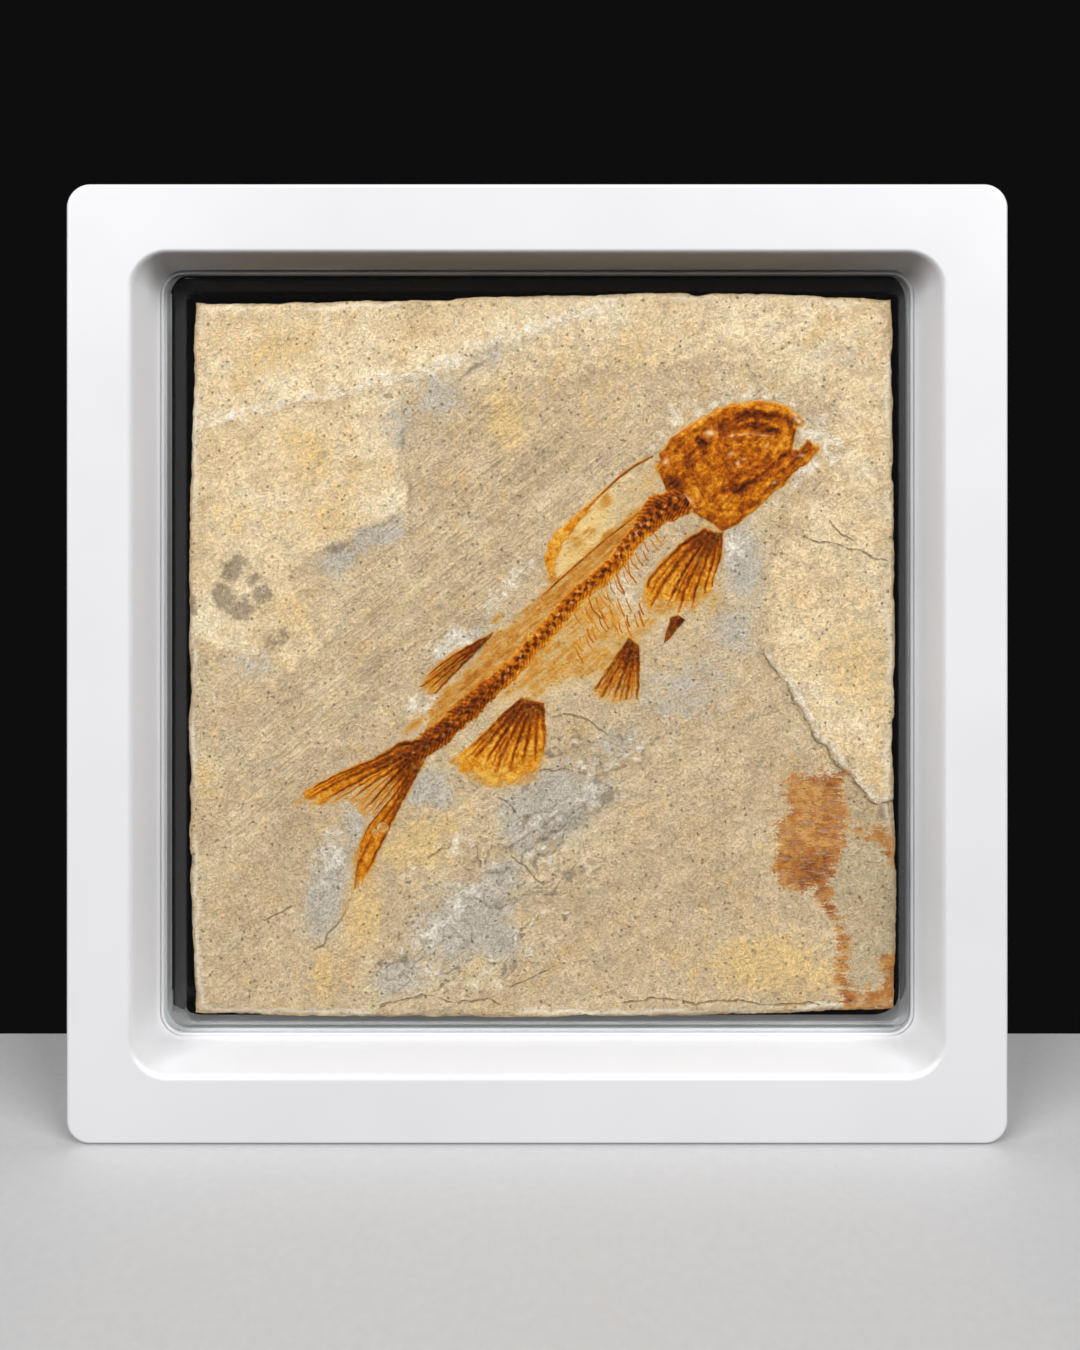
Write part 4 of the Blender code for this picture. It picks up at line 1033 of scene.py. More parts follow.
def backbone_shape(length, across, total, x, z):
    """Two rows of crushed vertebrae, fine slanting spines on both flanks, and the muscle round the
    tail's root."""
    neck = 1 - smooth_between(6.0, NECK_LENGTH, length)
    tail_root = smooth_between(TAIL_ROOT - 12, TAIL_ROOT + 6, length)
    upper = across > 0
    half = 1.5 + 1.9 * neck + 1.0 * tail_root
    half = half + np.where(upper, 0.9, 0.1) * smooth_between(8, 20, length) * (1 - tail_root)
    half = half + 0.45 * lumps(x, z, 1.2, 221, 2) + 0.25 * lumps(x, z, 0.5, 229)
    edge = half - np.abs(across)
    sway = across + 0.25 * lumps(length, np.zeros(length.shape), 5, 222)
    phase = length / VERTEBRA_PITCH + 0.22 * lumps(x, z, 2.5, 223)
    row = np.where(sway > 0, 0.5, 0.0)
    bead = smooth_between(-0.5, 0.7, np.cos(2 * math.pi * (phase + row)) + 0.9 * lumps(x, z, 0.8, 227, 2))
    core = peak(np.clip(np.abs(sway) - 0.35, 0, None), 0.75 + 0.8 * neck)
    slant = (length - np.abs(across) * np.where(upper, 1.3, 0.9)) / (VERTEBRA_PITCH * 0.5)
    spine = 0.5 + 0.5 * np.cos(2 * math.pi * slant + 2.2 * lumps(x, z, 2.0, 226))
    flank = smooth_between(0.7, 1.3, np.abs(across)) * smooth_between(0, 0.6, edge)
    crust = lumps(x, z, 0.75, 225, 2)
    height = 0.08 + core * (0.16 + 0.26 * bead) + 0.08 * spine * flank
    height = height + 0.10 * crust * smooth_between(0, 1, edge)
    height = height + 0.14 * tail_root * smooth_between(0, 1.2, edge) + 0.10 * neck
    gaps = core * smooth_between(0.15, 0.6, lumps(x, z, 0.7, 228, 2)) * (1 - bead)
    tendons = smooth_between(0.1, 0.6, lumps(length / 4, across, 0.6, 230, 2))
    tone = 0.80 - 0.30 * flank * spine + 0.12 * tendons - core * (0.22 + 0.42 * bead) * (1 - 0.45 * tail_root)
    tone = tone - 0.34 * tail_root - 0.16 * neck + 0.12 * tail_root * tendons
    return sink_rim(height, edge, 0.03, 0.6, 1.2), {
        "tone": np.clip(tone, 0, 1),
        "fade": smooth_between(0.0, 0.5, edge),
        "cream": 0.55 * smooth_between(0.40, 0.9, gaps) * (1 - 0.7 * tail_root) * (1 - 0.6 * neck),
    }


def thin_line_shape(width, rise, tone):
    """Shape for a thin bone or body edge: one low rounded ridge, tapering at both ends."""

    def shape(length, across, total, x, z):
        taper = 0.35 + 0.65 * fade_ends(length / total, 0.18, 0.12)
        half = width * taper * (1 + 0.3 * lumps(x, z, 1.0, 231, 2))
        edge = half - np.abs(across)
        height = rise * round_top(across, half) + 0.03 * lumps(x, z, 0.7, 233)
        return sink_rim(height, edge, 0.01, 1, 2), {
            "tone": tone + 0.15 * lumps(x, z, 1.4, 235),
            "fade": smooth_between(0, 0.25, edge),
        }

    return shape


def crescent_shape(length, across, total, x, z):
    """The front dorsal fin's outer edge: a hairline at the head end that swells to a bright blade."""
    share = length / total
    half = 0.28 + 1.25 * smooth_between(0.42, 0.8, share) * (1 - smooth_between(0.86, 1.0, share))
    half = half * (1 + 0.25 * lumps(x, z, 1.3, 241, 2))
    edge = half - np.abs(across)
    height = 0.16 * round_top(across, half) + 0.03 * lumps(x, z, 0.8, 243)
    return sink_rim(height, edge, 0.01, 1, 2), {
        "tone": 0.38 + 0.44 * smooth_between(0.25, 0.6, share),
        "fade": smooth_between(0, 0.3, edge),
    }


# The skull's raised arches: line, half width and rise.
SKULL_ARCHES = [
    ([
        (40.4, 51.6), (43.4, 52.7), (46.4, 53.4), (51.2, 53.9), (54.4, 52.4), (56.0, 49.8), (55.9, 47.0),
        (54.6, 44.6), (51.4, 43.2),
    ], 0.5, 0.20),
    ([
        (29.4, 46.8), (33.6, 49.6), (38.2, 52.0), (43.4, 54.2), (48.4, 55.1), (52.4, 54.8), (56.4, 52.8),
    ], 0.9, 0.24),
    ([(60.6, 45.8), (57.4, 43.2), (53.4, 39.4), (49.0, 35.4), (45.0, 31.8), (41.4, 28.8)], 0.9, 0.20),
    ([(59.6, 46.6), (56.0, 43.6), (52.0, 40.6), (48.6, 38.4)], 0.5, 0.18),
    ([(33.9, 42.2), (34.4, 39.6), (35.8, 36.8), (37.4, 33.4)], 0.40, 0.22),
    ([(28.0, 38.6), (31.0, 37.6), (33.8, 38.6)], 0.6, 0.14),
    ([(42.0, 48.0), (46.0, 48.9), (51.0, 48.5)], 0.35, 0.16),
    ([(43.0, 50.4), (47.0, 51.6), (51.4, 51.6)], 0.35, 0.12),
    ([(42.4, 45.6), (46.4, 46.6), (50.0, 45.6)], 0.40, 0.12),
    ([(54.4, 51.4), (54.5, 48.6), (53.8, 46.0), (50.8, 44.4)], 0.7, 0.14),
]
# Hollows between them: x, z, two half lengths, turn in degrees and depth.
SKULL_HOLLOWS = [
    (50.8, 49.6, 3.0, 1.2, 0, 0.20), (50.0, 46.4, 2.6, 1.4, 10, 0.12), (36.4, 47.2, 1.8, 1.0, -20, 0.16),
    (43.8, 37.0, 3.2, 1.4, 10, 0.14), (48.0, 52.4, 5, 0.8, 6, 0.12), (35.0, 34.6, 1.4, 2.4, 20, 0.08),
]
# Thin dark seams between the plates: line, half width and strength.
SKULL_SEAMS = [
    ([
        (39.6, 51.0), (43.0, 52.9), (46.3, 53.6), (51.4, 54.1), (54.8, 52.2), (56.1, 49.8), (56.1, 47.2),
        (54.8, 44.6), (51.0, 42.8),
    ], 0.34, 1.0),
    ([(33.9, 41.6), (34.2, 39.8), (35.2, 37.4), (36.6, 35.0), (37.3, 33.4)], 0.26, 0.9),
    ([(43.6, 51.4), (47.4, 52.4), (51.8, 52.2)], 0.26, 0.8),
    ([(43.0, 49.4), (47.0, 50.2), (50.0, 50.2)], 0.24, 0.7),
    ([(41.6, 46.4), (45.2, 47.6), (49.0, 47.2)], 0.22, 0.6),
    ([(61.4, 45.8), (58.8, 44.8), (56.0, 42.6), (52.4, 40.0)], 0.26, 0.8),
    ([(58.4, 42.2), (55.6, 39.6), (52.4, 37.4)], 0.24, 0.6),
    ([(44.4, 35.8), (45.0, 33.4), (43.8, 30.8)], 0.22, 0.5),
    ([(30.4, 46.4), (33.4, 44.4), (33.8, 42.0)], 0.26, 0.7),
    ([(28.4, 39.6), (31.2, 38.6), (33.4, 39.6)], 0.3, 0.8),
    ([(39.4, 46.4), (38.6, 43.4), (39.6, 40.6)], 0.24, 0.5),
]
# Dark, bright and cream patches of the bone: x, z, two half lengths, turn in degrees and strength.
SKULL_DARK = [
    (48.4, 52.9, 5.4, 0.9, 4, 1.0), (51.3, 49.5, 1.9, 0.8, 0, 1.0), (47.6, 50.8, 3.6, 0.8, 6, 0.7),
    (36.4, 47.2, 1.7, 0.9, -20, 1.0), (39.8, 50.4, 1.6, 0.9, 40, 0.9), (43.6, 37.0, 3.4, 1.1, 6, 1.0),
    (47.4, 38.6, 3.6, 1.3, 30, 0.7), (51.4, 42.0, 2.6, 1.0, 40, 0.7), (53.6, 40.6, 2.2, 0.8, 40, 0.6),
    (33.0, 44.8, 1.2, 2.2, 10, 0.6), (30.0, 38.4, 2.6, 1.4, -20, 0.9), (27.4, 37.6, 2.0, 1.4, 0, 0.8),
    (37.0, 44.6, 1.0, 2.0, 0, 0.4), (42.0, 34.6, 2.0, 1.0, 0, 0.35), (60.0, 45.6, 1.6, 0.6, 40, 0.5),
    (35.4, 30.8, 2.4, 0.8, -30, 0.6), (31.0, 34.4, 1.8, 0.8, -40, 0.7),
]
SKULL_BRIGHT = [
    (54.4, 49.2, 0.8, 2.4, 0, 1.0), (52.8, 45.4, 1.8, 0.9, 40, 0.9), (49.2, 46.2, 3.0, 1.1, 0, 0.7),
    (47.6, 54.9, 6.0, 0.6, 4, 0.9), (36.4, 52.0, 3.6, 0.6, 30, 0.8), (35.2, 35.6, 0.9, 2.4, 20, 1.0),
    (34.2, 36.4, 1.4, 2.0, 10, 0.8), (49.0, 33.6, 2.8, 0.7, 42, 0.8), (55.6, 53.9, 2.2, 0.8, -35, 0.9),
    (36.4, 41.4, 0.9, 1.6, 0, 0.6), (60.6, 44.8, 1.0, 0.6, 40, 0.6), (28.6, 44.0, 1.2, 2.0, 0, 0.5),
    (52.6, 36.8, 2.2, 0.6, 42, 0.6), (41.4, 28.8, 2.0, 0.8, 40, 0.5), (44.6, 44.0, 2.0, 0.9, 0, 0.4),
    (28.4, 41.4, 0.8, 1.0, 0, 0.4),
]
SKULL_CREAM = [
    (37.9, 49.0, 0.9, 0.6, 0, 1.0), (32.8, 34.6, 0.5, 1.4, 50, 0.9), (31.0, 34.9, 0.5, 0.4, 0, 0.9),
    (30.2, 33.9, 0.4, 0.5, 0, 0.9), (57.2, 51.8, 1.2, 0.5, -40, 0.9), (56.6, 53.0, 1.1, 0.4, -40, 0.7),
    (42.8, 48.5, 0.6, 0.22, 20, 0.9), (45.6, 48.8, 1.4, 0.14, 5, 0.7), (49.6, 48.5, 1.6, 0.14, -4, 0.7),
    (42.4, 44.5, 0.5, 0.3, 30, 0.9), (44.0, 42.4, 0.35, 0.5, 0, 0.8), (45.4, 43.3, 0.4, 0.2, 0, 0.8),
    (50.4, 46.4, 0.2, 0.6, -30, 0.8), (28.3, 42.8, 0.5, 0.7, 0, 0.7), (33.4, 32.4, 0.3, 1.0, 50, 0.8),
    (57.8, 44.2, 0.6, 0.3, 0, 0.7), (52.0, 38.2, 0.4, 0.3, 0, 0.7), (27.4, 47.6, 0.4, 0.3, 0, 0.4),
]
SKULL_BOX = ((24.4, 25.8), (63.6, 57.6))
SKULL_CELL = 0.24
SKULL_HEIGHT = 0.34
EYE_X, EYE_Z = 48.0, 46.8
JAW_DEGREES = 42


def skull():
    """The crushed skull: overlapping bony plates with raised arches, hollows and a crusty surface."""
    (x0, z0), (x1, z1) = SKULL_BOX
    grid, u, v = new_grid("skull", round((x1 - x0) / SKULL_CELL), round((z1 - z0) / SKULL_CELL))
    x, z = x0 + u * (x1 - x0), z0 + v * (z1 - z0)
    warp_x, warp_z = warped(x, z, 0.50, 1.6, (251, 253), 3)
    edge = to_outline(warp_x, warp_z, SKULL_OUTLINE)
    height = SKULL_HEIGHT * (0.6 + 0.4 * smooth_between(0, 5, edge))
    plates = lumps(warp_x, warp_z, 3.6, 255)
    height += 0.10 * smooth_between(-0.12, 0.12, plates) + 0.05 * lumps(warp_x, warp_z, 1.5, 257, 2)
    for line, width, rise in SKULL_ARCHES:
        height += rise * peak(to_line(warp_x, warp_z, line)[0], width)
    height -= blots(warp_x, warp_z, SKULL_HOLLOWS)
    seams = np.zeros(x.shape)
    for line, width, strength in SKULL_SEAMS:
        near = peak(to_line(warp_x, warp_z, line)[0], width)
        seams = np.maximum(seams, strength * near * (0.6 + 0.5 * lumps(x, z, 1.1, 265)))
    # Fibres of the bone: round the eye socket in the upper half, and slanting towards the jaw below it.
    angle = np.arctan2(warp_z - EYE_Z, warp_x - EYE_X)
    rings = lumps(angle * 2.4, np.hypot((warp_x - EYE_X) * 0.8, warp_z - EYE_Z), 0.85, 267, 2)
    slant_x, slant_z = turned(warp_x, warp_z, JAW_DEGREES)
    slants = lumps(slant_x / 3.5, slant_z, 0.8, 261, 2)
    upper = smooth_between(41, 46, z) * smooth_between(34, 40, x)
    fibres = rings * upper + slants * (1 - upper)
    crust = lumps(x, z, 0.8, 259, 3)
    height += 0.075 * crust + 0.05 * fibres - 0.10 * seams
    height = np.minimum(height, 0.02 + 0.75 * np.clip(edge, 0, None) ** 0.8)
    height = np.where(edge > 0, height, np.maximum(edge * 1.5, -1) * BURY)
    mottles = smooth_between(0.05, 0.7, lumps(x, z, 1.9, 263, 3))
    dark = np.clip(np.maximum(blots(warp_x, warp_z, SKULL_DARK), seams) + 0.30 * mottles - 0.15, 0, 1)
    bright = np.clip(blots(warp_x, warp_z, SKULL_BRIGHT) + 0.45 * np.clip(fibres, 0, 1), 0, 1)
    settle(grid, x, z, height)
    paint(
        grid.data,
        tone=np.clip(0.53 + 0.20 * fibres + 0.16 * crust - 0.50 * dark + 0.28 * bright, 0, 1),
        fade=smooth_between(0, 0.4, edge),
        cream=blots(x, z, SKULL_CREAM),
    )
    close_underside(grid)
    return grid


# Each fin's name, rays, radius of a ray in millimetres, and where it differs from fin's own settings.
FINS = [
    ("tail_fin", TAIL_FIN, 0.50, {
        "open_from": (2, 2, 0.70, 0.42, 0.40, 0.45, 2, 2), "web_tone": 0.80, "cells": (11, 130),
        "notches": [(-34.0, -37.4, 1.2), (-35.6, -38.6, 0.7)],
    }),
    ("pectoral_fin", PECTORAL_FIN, 0.52, {
        "raised_until": 0.94, "open_from": (2, 0.86, 0.8, 0.84, 0.8, 2), "web_tone": 0.87,
    }),
    ("pelvic_fin", PELVIC_FIN, 0.66, {
        "raised_until": 0.98, "open_from": (0.42, 0.45, 0.45, 0.5), "web_tone": 0.72, "cells": (14, 70),
    }),
    ("anal_fin", ANAL_FIN, 0.50, {"raised_until": 0.80}),
    ("rear_dorsal_fin", REAR_DORSAL_FIN, 0.62, {
        "raised_until": 0.97, "open_from": (0.45, 0.35, 0.40), "web_tone": 0.80, "cells": (14, 80),
    }),
    ("loose_bone", LOOSE_BONE, 0.55, {"raised_until": 0.95, "web_tone": 0.45, "cells": (12, 36)}),
]


def rib_hairs():
    """The fine ribs under the backbone, scattered a little and joined into one piece."""
    scatter = np.random.default_rng(77)
    ribs = []
    for first, last, count, below, long, degrees in RIB_ROWS:
        for share in np.linspace(first, last, count):
            x, z = along(SPINE, np.array([share]))[0]
            turn = math.radians(degrees + scatter.uniform(-7, 7))
            start = below + scatter.uniform(-0.8, 0.8)
            reach = long * scatter.uniform(0.6, 1.1)
            x, z = x + start * 0.72, z - start * 0.70
            bend = reach * scatter.uniform(0.02, 0.10)
            middle = (x + reach / 2 * math.cos(turn) - bend, z + reach / 2 * math.sin(turn) - bend)
            line = [(x, z), middle, (x + reach * math.cos(turn), z + reach * math.sin(turn))]
            shape = thin_line_shape(scatter.uniform(0.13, 0.24), 0.08, scatter.uniform(0.5, 0.85))
            ribs.append(strip("rib", line, (30, 8), 0.6, shape))
    ribs = join(ribs)
    ribs.name = ribs.data.name = "ribs"
    return ribs


def fish():
    """All the fish's pieces, each a solid bone or fin sunk in the slab's face."""
    pieces = [skull(), strip("backbone", SPINE, (420, 44), 4.6, backbone_shape)]
    pieces += [fin(name, rays, radius, **settings) for name, rays, radius, settings in FINS]
    pieces.append(strip("front_dorsal_fin", FRONT_DORSAL_EDGE, (180, 18), 2.2, crescent_shape))
    pieces.append(strip("back_edge", BODY_EDGE, (150, 10), 0.8, thin_line_shape(0.26, 0.08, 0.42)))
    pieces.append(rib_hairs())
    return pieces


# ---------------------------------------------------------------- materials


def linear(hex_colour):
    """An sRGB hex colour as linear values with full alpha."""
    channels = [int(hex_colour[i : i + 2], 16) / 255 for i in (0, 2, 4)]
    return (*[c / 12.92 if c <= 0.04045 else ((c + 0.055) / 1.055) ** 2.4 for c in channels], 1.0)


def per_metre(size_mm):
    """The texture scale whose features are this many millimetres across."""
    return 1000.0 / size_mm


def add_node(tree, kind, inputs=None, out=0, stops=None, **settings):
    """Add a shader node with its settings, values and links. Returns the output to link from."""
    node = tree.nodes.new("ShaderNode" + kind)
    for key, value in settings.items():
        setattr(node, key, value)
    for key, value in (inputs or {}).items():
        if isinstance(value, bpy.types.NodeSocket):
            tree.links.new(value, node.inputs[key])
        else:
            node.inputs[key].default_value = value
    if stops:
        ramp = node.color_ramp
        while len(ramp.elements) < len(stops):
            ramp.elements.new(1.0)
        for element, (position, colour) in zip(ramp.elements, stops):
            element.position, element.color = position, linear(colour)
    return node.outputs[out] if node.outputs else None


# Settings that many nodes share.
SOFT = {"interpolation_type": "SMOOTHSTEP"}
BLEND = {"data_type": "RGBA", "out": 2}


def new_material(name):
    """An empty material, and add_node for its own nodes."""
    material = bpy.data.materials.new(name)
    material.use_nodes = True
    material.node_tree.nodes.clear()
    return material, functools.partial(add_node, material.node_tree)


def white_plastic():
    """White ABS, injection moulded in a finely sparked mould: an even, very slightly cool white with a
    soft gloss that varies a little across the part, so that its highlights break up."""
    material, add = new_material("white moulded ABS")
    place = add("TexCoord", out="Object")
    spark = add("TexNoise", {"Vector": place, "Scale": per_metre(0.35), "Detail": 2.0, "Roughness": 0.6})
    flow = add("TexNoise", {"Vector": place, "Scale": per_metre(38), "Detail": 3.0})
    tint = add("ValToRGB", {"Fac": flow}, stops=[(0.3, "EFEFF2"), (0.7, "F4F4F6")])
    gloss = add("MapRange", {"Value": flow, 3: 0.30, 4: 0.40})
    mould = add("Bump", {"Height": spark, "Strength": 0.10, "Distance": 0.03 * MM})
    wave = add("Bump", {"Height": flow, "Strength": 0.15, "Distance": 0.25 * MM, "Normal": mould})
    shader = add(
        "BsdfPrincipled",
        {"Base Color": tint, "Roughness": gloss, "IOR": 1.54, "Metallic": 0.0, "Normal": wave},
    )
    add("OutputMaterial", {"Surface": shader})
    return material


def clear_film():
    """Clear elastic polyurethane film, stretched tight: see-through, with a thin glossy skin and faint
    ripples in its shine. Light passes straight through it to the stone. The index is lower than the
    real one of about 1.5, which turned the steep walls round the slab from dark to grey."""
    material, add = new_material("clear polyurethane film")
    place = add("TexCoord", out="Object")
    ripple = add("TexNoise", {"Vector": place, "Scale": per_metre(16), "Detail": 2.0})
    skin = add("Bump", {"Height": ripple, "Strength": 0.25, "Distance": 0.2 * MM})
    shader = add("BsdfPrincipled", {
        "Base Color": linear("F8F9F9"), "Roughness": 0.03, "IOR": 1.15, "Transmission Weight": 1.0,
        "Normal": skin,
    })
    open_air = add("BsdfTransparent", {"Color": linear("FAFBFB")})
    shadow = add("LightPath", out="Is Shadow Ray")
    surface = add("MixShader", {0: shadow, 1: shader, 2: open_air})
    add("OutputMaterial", {"Surface": surface})
    return material


def limestone():
    """Fine bedded limestone, split by hand: matt, cream to grey-beige in soft zones, peppered with small
    grains, scored by a chisel in places, with rust and amber stains soaked in."""
    material, add = new_material("split lithographic limestone")
    place = add("TexCoord", out="Object")
    turn = add("Mapping", {"Vector": place, "Rotation": (0, math.radians(40), 0)})
    field = {
        name: add("Attribute", out="Fac", attribute_name=name)
        for name in (
            "cream", "yellow", "grey", "green", "dark", "pale", "rust", "rust_dark",
            "scored", "stain", "straw", "crack_and_shadow", "crack_and_shadow_near", "rim", "chip",
        )
    }
    # Even patterns: size in millimetres, detail, roughness and distortion.
    cloud, blush, mottle, flecks = (
        add("TexNoise", {
            "Vector": place, "Scale": per_metre(size),
            "Detail": detail, "Roughness": rough, "Distortion": twist,
        })
        for size, detail, rough, twist in (
            (11, 6.0, 0.6, 0.0), (6.5, 4.0, 0.65, 0.6), (2.4, 6.0, 0.7, 0.0), (1.3, 4.0, 0.8, 1.5),
        )
    )
    pepper = add("TexVoronoi", {"Vector": place, "Scale": per_metre(1.9), "Randomness": 1.0}, out="Distance")
    # Drawn-out patterns: the grain, ridges, chisel scores, short nicks, strands of stain and rust streaks.
    # The grain is really about 0.3 mm, and is drawn about twice as coarse, so that it shows.
    grain, ridges, scores, nicks, strands, streaks = (
        add("TexNoise", {
            "Vector": add("Mapping", {"Vector": way, "Scale": [per_metre(size) for size in sizes]}),
            "Scale": 1.0, "Detail": detail, "Roughness": rough, "Distortion": twist,
        })
        for way, sizes, detail, rough, twist in (
            (turn, (0.70, 0.7, 0.62), 4.0, 0.7, 0.7), (turn, (5.0, 4, 2.3), 4.0, 0.6, 0.8),
            (turn, (13, 3, 0.75), 3.0, 0.6, 0.0), (turn, (3.6, 3, 0.9), 3.0, 0.7, 0.4),
            (turn, (5, 3, 0.7), 4.0, 0.65, 0.0), (place, (3.2, 3, 0.5), 5.0, 0.75, 0.5),
        )
    )

    grey_beige = add("ValToRGB", {"Fac": cloud}, stops=[(0.3, "C8AE8A"), (0.5, "D7BC97"), (0.7, "E3CBA4")])
    cream = add("ValToRGB", {"Fac": cloud}, stops=[(0.3, "E1C397"), (0.5, "EFD3A9"), (0.7, "F8E3BF")])
    uneven = add("MapRange", {"Value": mottle, 1: 0.3, 2: 0.7, 3: -0.25, 4: 0.25}, **SOFT)
    cream_share = add("Math", {0: field["cream"], 1: uneven}, operation="ADD")
    cream_share = add("MapRange", {"Value": cream_share, 1: 0.25, 2: 0.8}, **SOFT)
    colour = add("Mix", {0: cream_share, 6: grey_beige, 7: cream}, **BLEND)
    for low, high, least, most, tint in (
        (0.52, 0.72, 0.0, 0.65, "E2BC82"),
        (0.28, 0.45, 0.45, 0.0, "CDBDA2"),
    ):
        share = add("MapRange", {"Value": blush, 1: low, 2: high, 3: least, 4: most}, **SOFT)
        colour = add("Mix", {0: share, 6: colour, 7: linear(tint)}, **BLEND)
    # Patches with ragged edges. The dark and pale ones also carry painted shade and highlight at the steps.
    for name, wander, low, high, most, tint in (
        ("yellow", 0.18, 0.12, 0.74, 0.90, "EAC68A"),
        ("grey", 0.20, 0.16, 0.66, 0.88, "C3B9AA"),
        ("green", 0.20, 0.30, 0.60, 0.60, "C4AD87"),
        ("dark", 0.30, 0.30, 0.80, 0.80, "94836C"),
        ("pale", 0.30, 0.32, 0.90, 0.80, "F4E9D6"),
    ):
        ragged = add("MapRange", {"Value": mottle, 1: 0.3, 2: 0.7, 3: -wander, 4: wander}, **SOFT)
        ragged = add("Math", {0: field[name], 1: ragged}, operation="ADD")
        share = add("MapRange", {"Value": ragged, 1: low, 2: high, 3: 0.0, 4: most}, **SOFT)
        colour = add("Mix", {0: share, 6: colour, 7: linear(tint)}, **BLEND)
    # Darker and lighter by grain, cloud, ridge and score.
    for share, pattern, low, high, dark, light in (
        (1.0, grain, 0.38, 0.62, 0.80, 1.18),
        (1.0, mottle, 0.34, 0.66, 0.90, 1.09),
        (1.0, ridges, 0.36, 0.64, 0.94, 1.05),
        (field["scored"], scores, 0.38, 0.62, 0.89, 1.07),
    ):
        shade = add("MapRange", {"Value": pattern, 1: low, 2: high, 3: dark, 4: light}, **SOFT)
        colour = add("Mix", {0: share, 6: colour, 7: shade}, blend_type="MULTIPLY", **BLEND)
    # Dark dots, short nicks and bright flecks.
    dots = add("MapRange", {"Value": pepper, 1: 0.10, 2: 0.24, 3: 1.0, 4: 0.0}, **SOFT)
    some = add("MapRange", {"Value": flecks, 1: 0.44, 2: 0.56, 3: 0.0, 4: 0.78}, **SOFT)
    dots = add("Math", {0: dots, 1: some}, operation="MULTIPLY")
    nicks = add("MapRange", {"Value": nicks, 1: 0.60, 2: 0.72, 3: 0.0, 4: 0.32}, **SOFT)
    bright = add("MapRange", {"Value": flecks, 1: 0.58, 2: 0.70, 3: 0.0, 4: 0.65}, **SOFT)
    # Broken rims: brownish, as worn stone and as painted shade on the chipped rim. Nearly white along the
    # chips' crest, as newly broken stone and as painted highlight.
    weathered_and_shaded = add("MapRange", {"Value": mottle, 1: 0.4, 2: 0.6, 3: 0.25, 4: 0.80}, **SOFT)
    weathered_and_shaded = add("Math", {0: field["rim"], 1: weathered_and_shaded}, operation="MULTIPLY")
    for share, tint in (
        (dots, "86704E"), (nicks, "8E7A5C"), (bright, "F7EBD2"),
        (weathered_and_shaded, "A58663"), (field["chip"], "F6E8D0"),
    ):
        colour = add("Mix", {0: share, 6: colour, 7: linear(tint)}, **BLEND)

    # Amber stain of the soft body, drawn out in fine strands along the fish, and straw where a fin lay flat.
    soak = add("MapRange", {"Value": strands, 1: 0.32, 2: 0.66, 3: 0.62, 4: 1.30}, **SOFT)
    soak = add("Math", {0: field["stain"], 1: soak}, operation="MULTIPLY")
    blotchy = add("MapRange", {"Value": mottle, 1: 0.32, 2: 0.66, 3: 0.6, 4: 1.25}, **SOFT)
    soak = add("Math", {0: soak, 1: blotchy}, operation="MULTIPLY")
    straw_share = add("Math", {0: field["straw"], 1: blotchy}, operation="MULTIPLY")
    colour = add("Mix", {0: straw_share, 6: colour, 7: linear("F9D48E")}, **BLEND)
    amber = add(
        "ValToRGB", {"Fac": soak}, stops=[(0.0, "E6BC72"), (0.4, "DCA248"), (0.8, "CB821F"), (1.0, "B5650F")]
    )
    soak_share = add("MapRange", {"Value": soak, 1: 0.04, 2: 0.60, 3: 0.0, 4: 0.92}, **SOFT)
    colour = add("Mix", {0: soak_share, 6: colour, 7: amber}, **BLEND)

    # Rust: short streaks across, breaking up into flecks at its edge.
    ragged = add("MapRange", {"Value": streaks, 1: 0.3, 2: 0.7, 3: -1.2, 4: 1.4}, **SOFT)
    broken = add("MapRange", {"Value": flecks, 1: 0.38, 2: 0.62, 3: 0.7, 4: -0.7}, **SOFT)
    rust_share = field["rust"]
    for part in (ragged, broken):
        rust_share = add("Math", {0: rust_share, 1: part}, operation="ADD")
    rust_share = add("MapRange", {"Value": rust_share, 1: -0.3, 2: 0.9}, **SOFT)
    worn = add("MapRange", {"Value": streaks, 1: 0.36, 2: 0.56, 3: 0.55, 4: 1.0}, **SOFT)
    rust_share = add("Math", {0: rust_share, 1: worn}, operation="MULTIPLY")
    tone = field["rust_dark"]
    for pattern, dark, light in ((streaks, 0.55, -0.05), (mottle, -0.3, 0.3)):
        part = add("MapRange", {"Value": pattern, 1: 0.35, 2: 0.65, 3: dark, 4: light}, **SOFT)
        tone = add("Math", {0: tone, 1: part}, operation="ADD")
    rust = add(
        "ValToRGB", {"Fac": tone}, stops=[(0.0, "D8A360"), (0.3, "C27C36"), (0.65, "A65C20"), (1.0, "824216")]
    )
    colour = add("Mix", {0: rust_share, 6: colour, 7: rust}, **BLEND)

    # Hairlines, wider in places and with gaps in them: cracked stone, and painted shadow at the foot of the
    # ledge and the flake steps.
    width = add("MapRange", {"Value": mottle, 1: 0.3, 2: 0.7, 3: 0.0, 4: 0.20}, **SOFT)
    line = add("Math", {0: field["crack_and_shadow"]}, operation="ABSOLUTE")
    line = add("Math", {0: line, 1: width}, operation="SUBTRACT")
    cracks_and_shadows = add("MapRange", {"Value": line, 1: 0.0, 2: 0.16, 3: 1.0, 4: 0.0}, **SOFT)
    near = add("MapRange", {"Value": field["crack_and_shadow_near"], 1: 0.4, 2: 0.9, 3: 0.75, 4: 0.0}, **SOFT)
    gappy = add("MapRange", {"Value": mottle, 1: 0.40, 2: 0.56, 3: 0.25, 4: 1.0}, **SOFT)
    for part in (near, gappy):
        cracks_and_shadows = add("Math", {0: cracks_and_shadows, 1: part}, operation="MULTIPLY")
    colour = add("Mix", {0: cracks_and_shadows, 6: colour, 7: linear("8A7450")}, **BLEND)

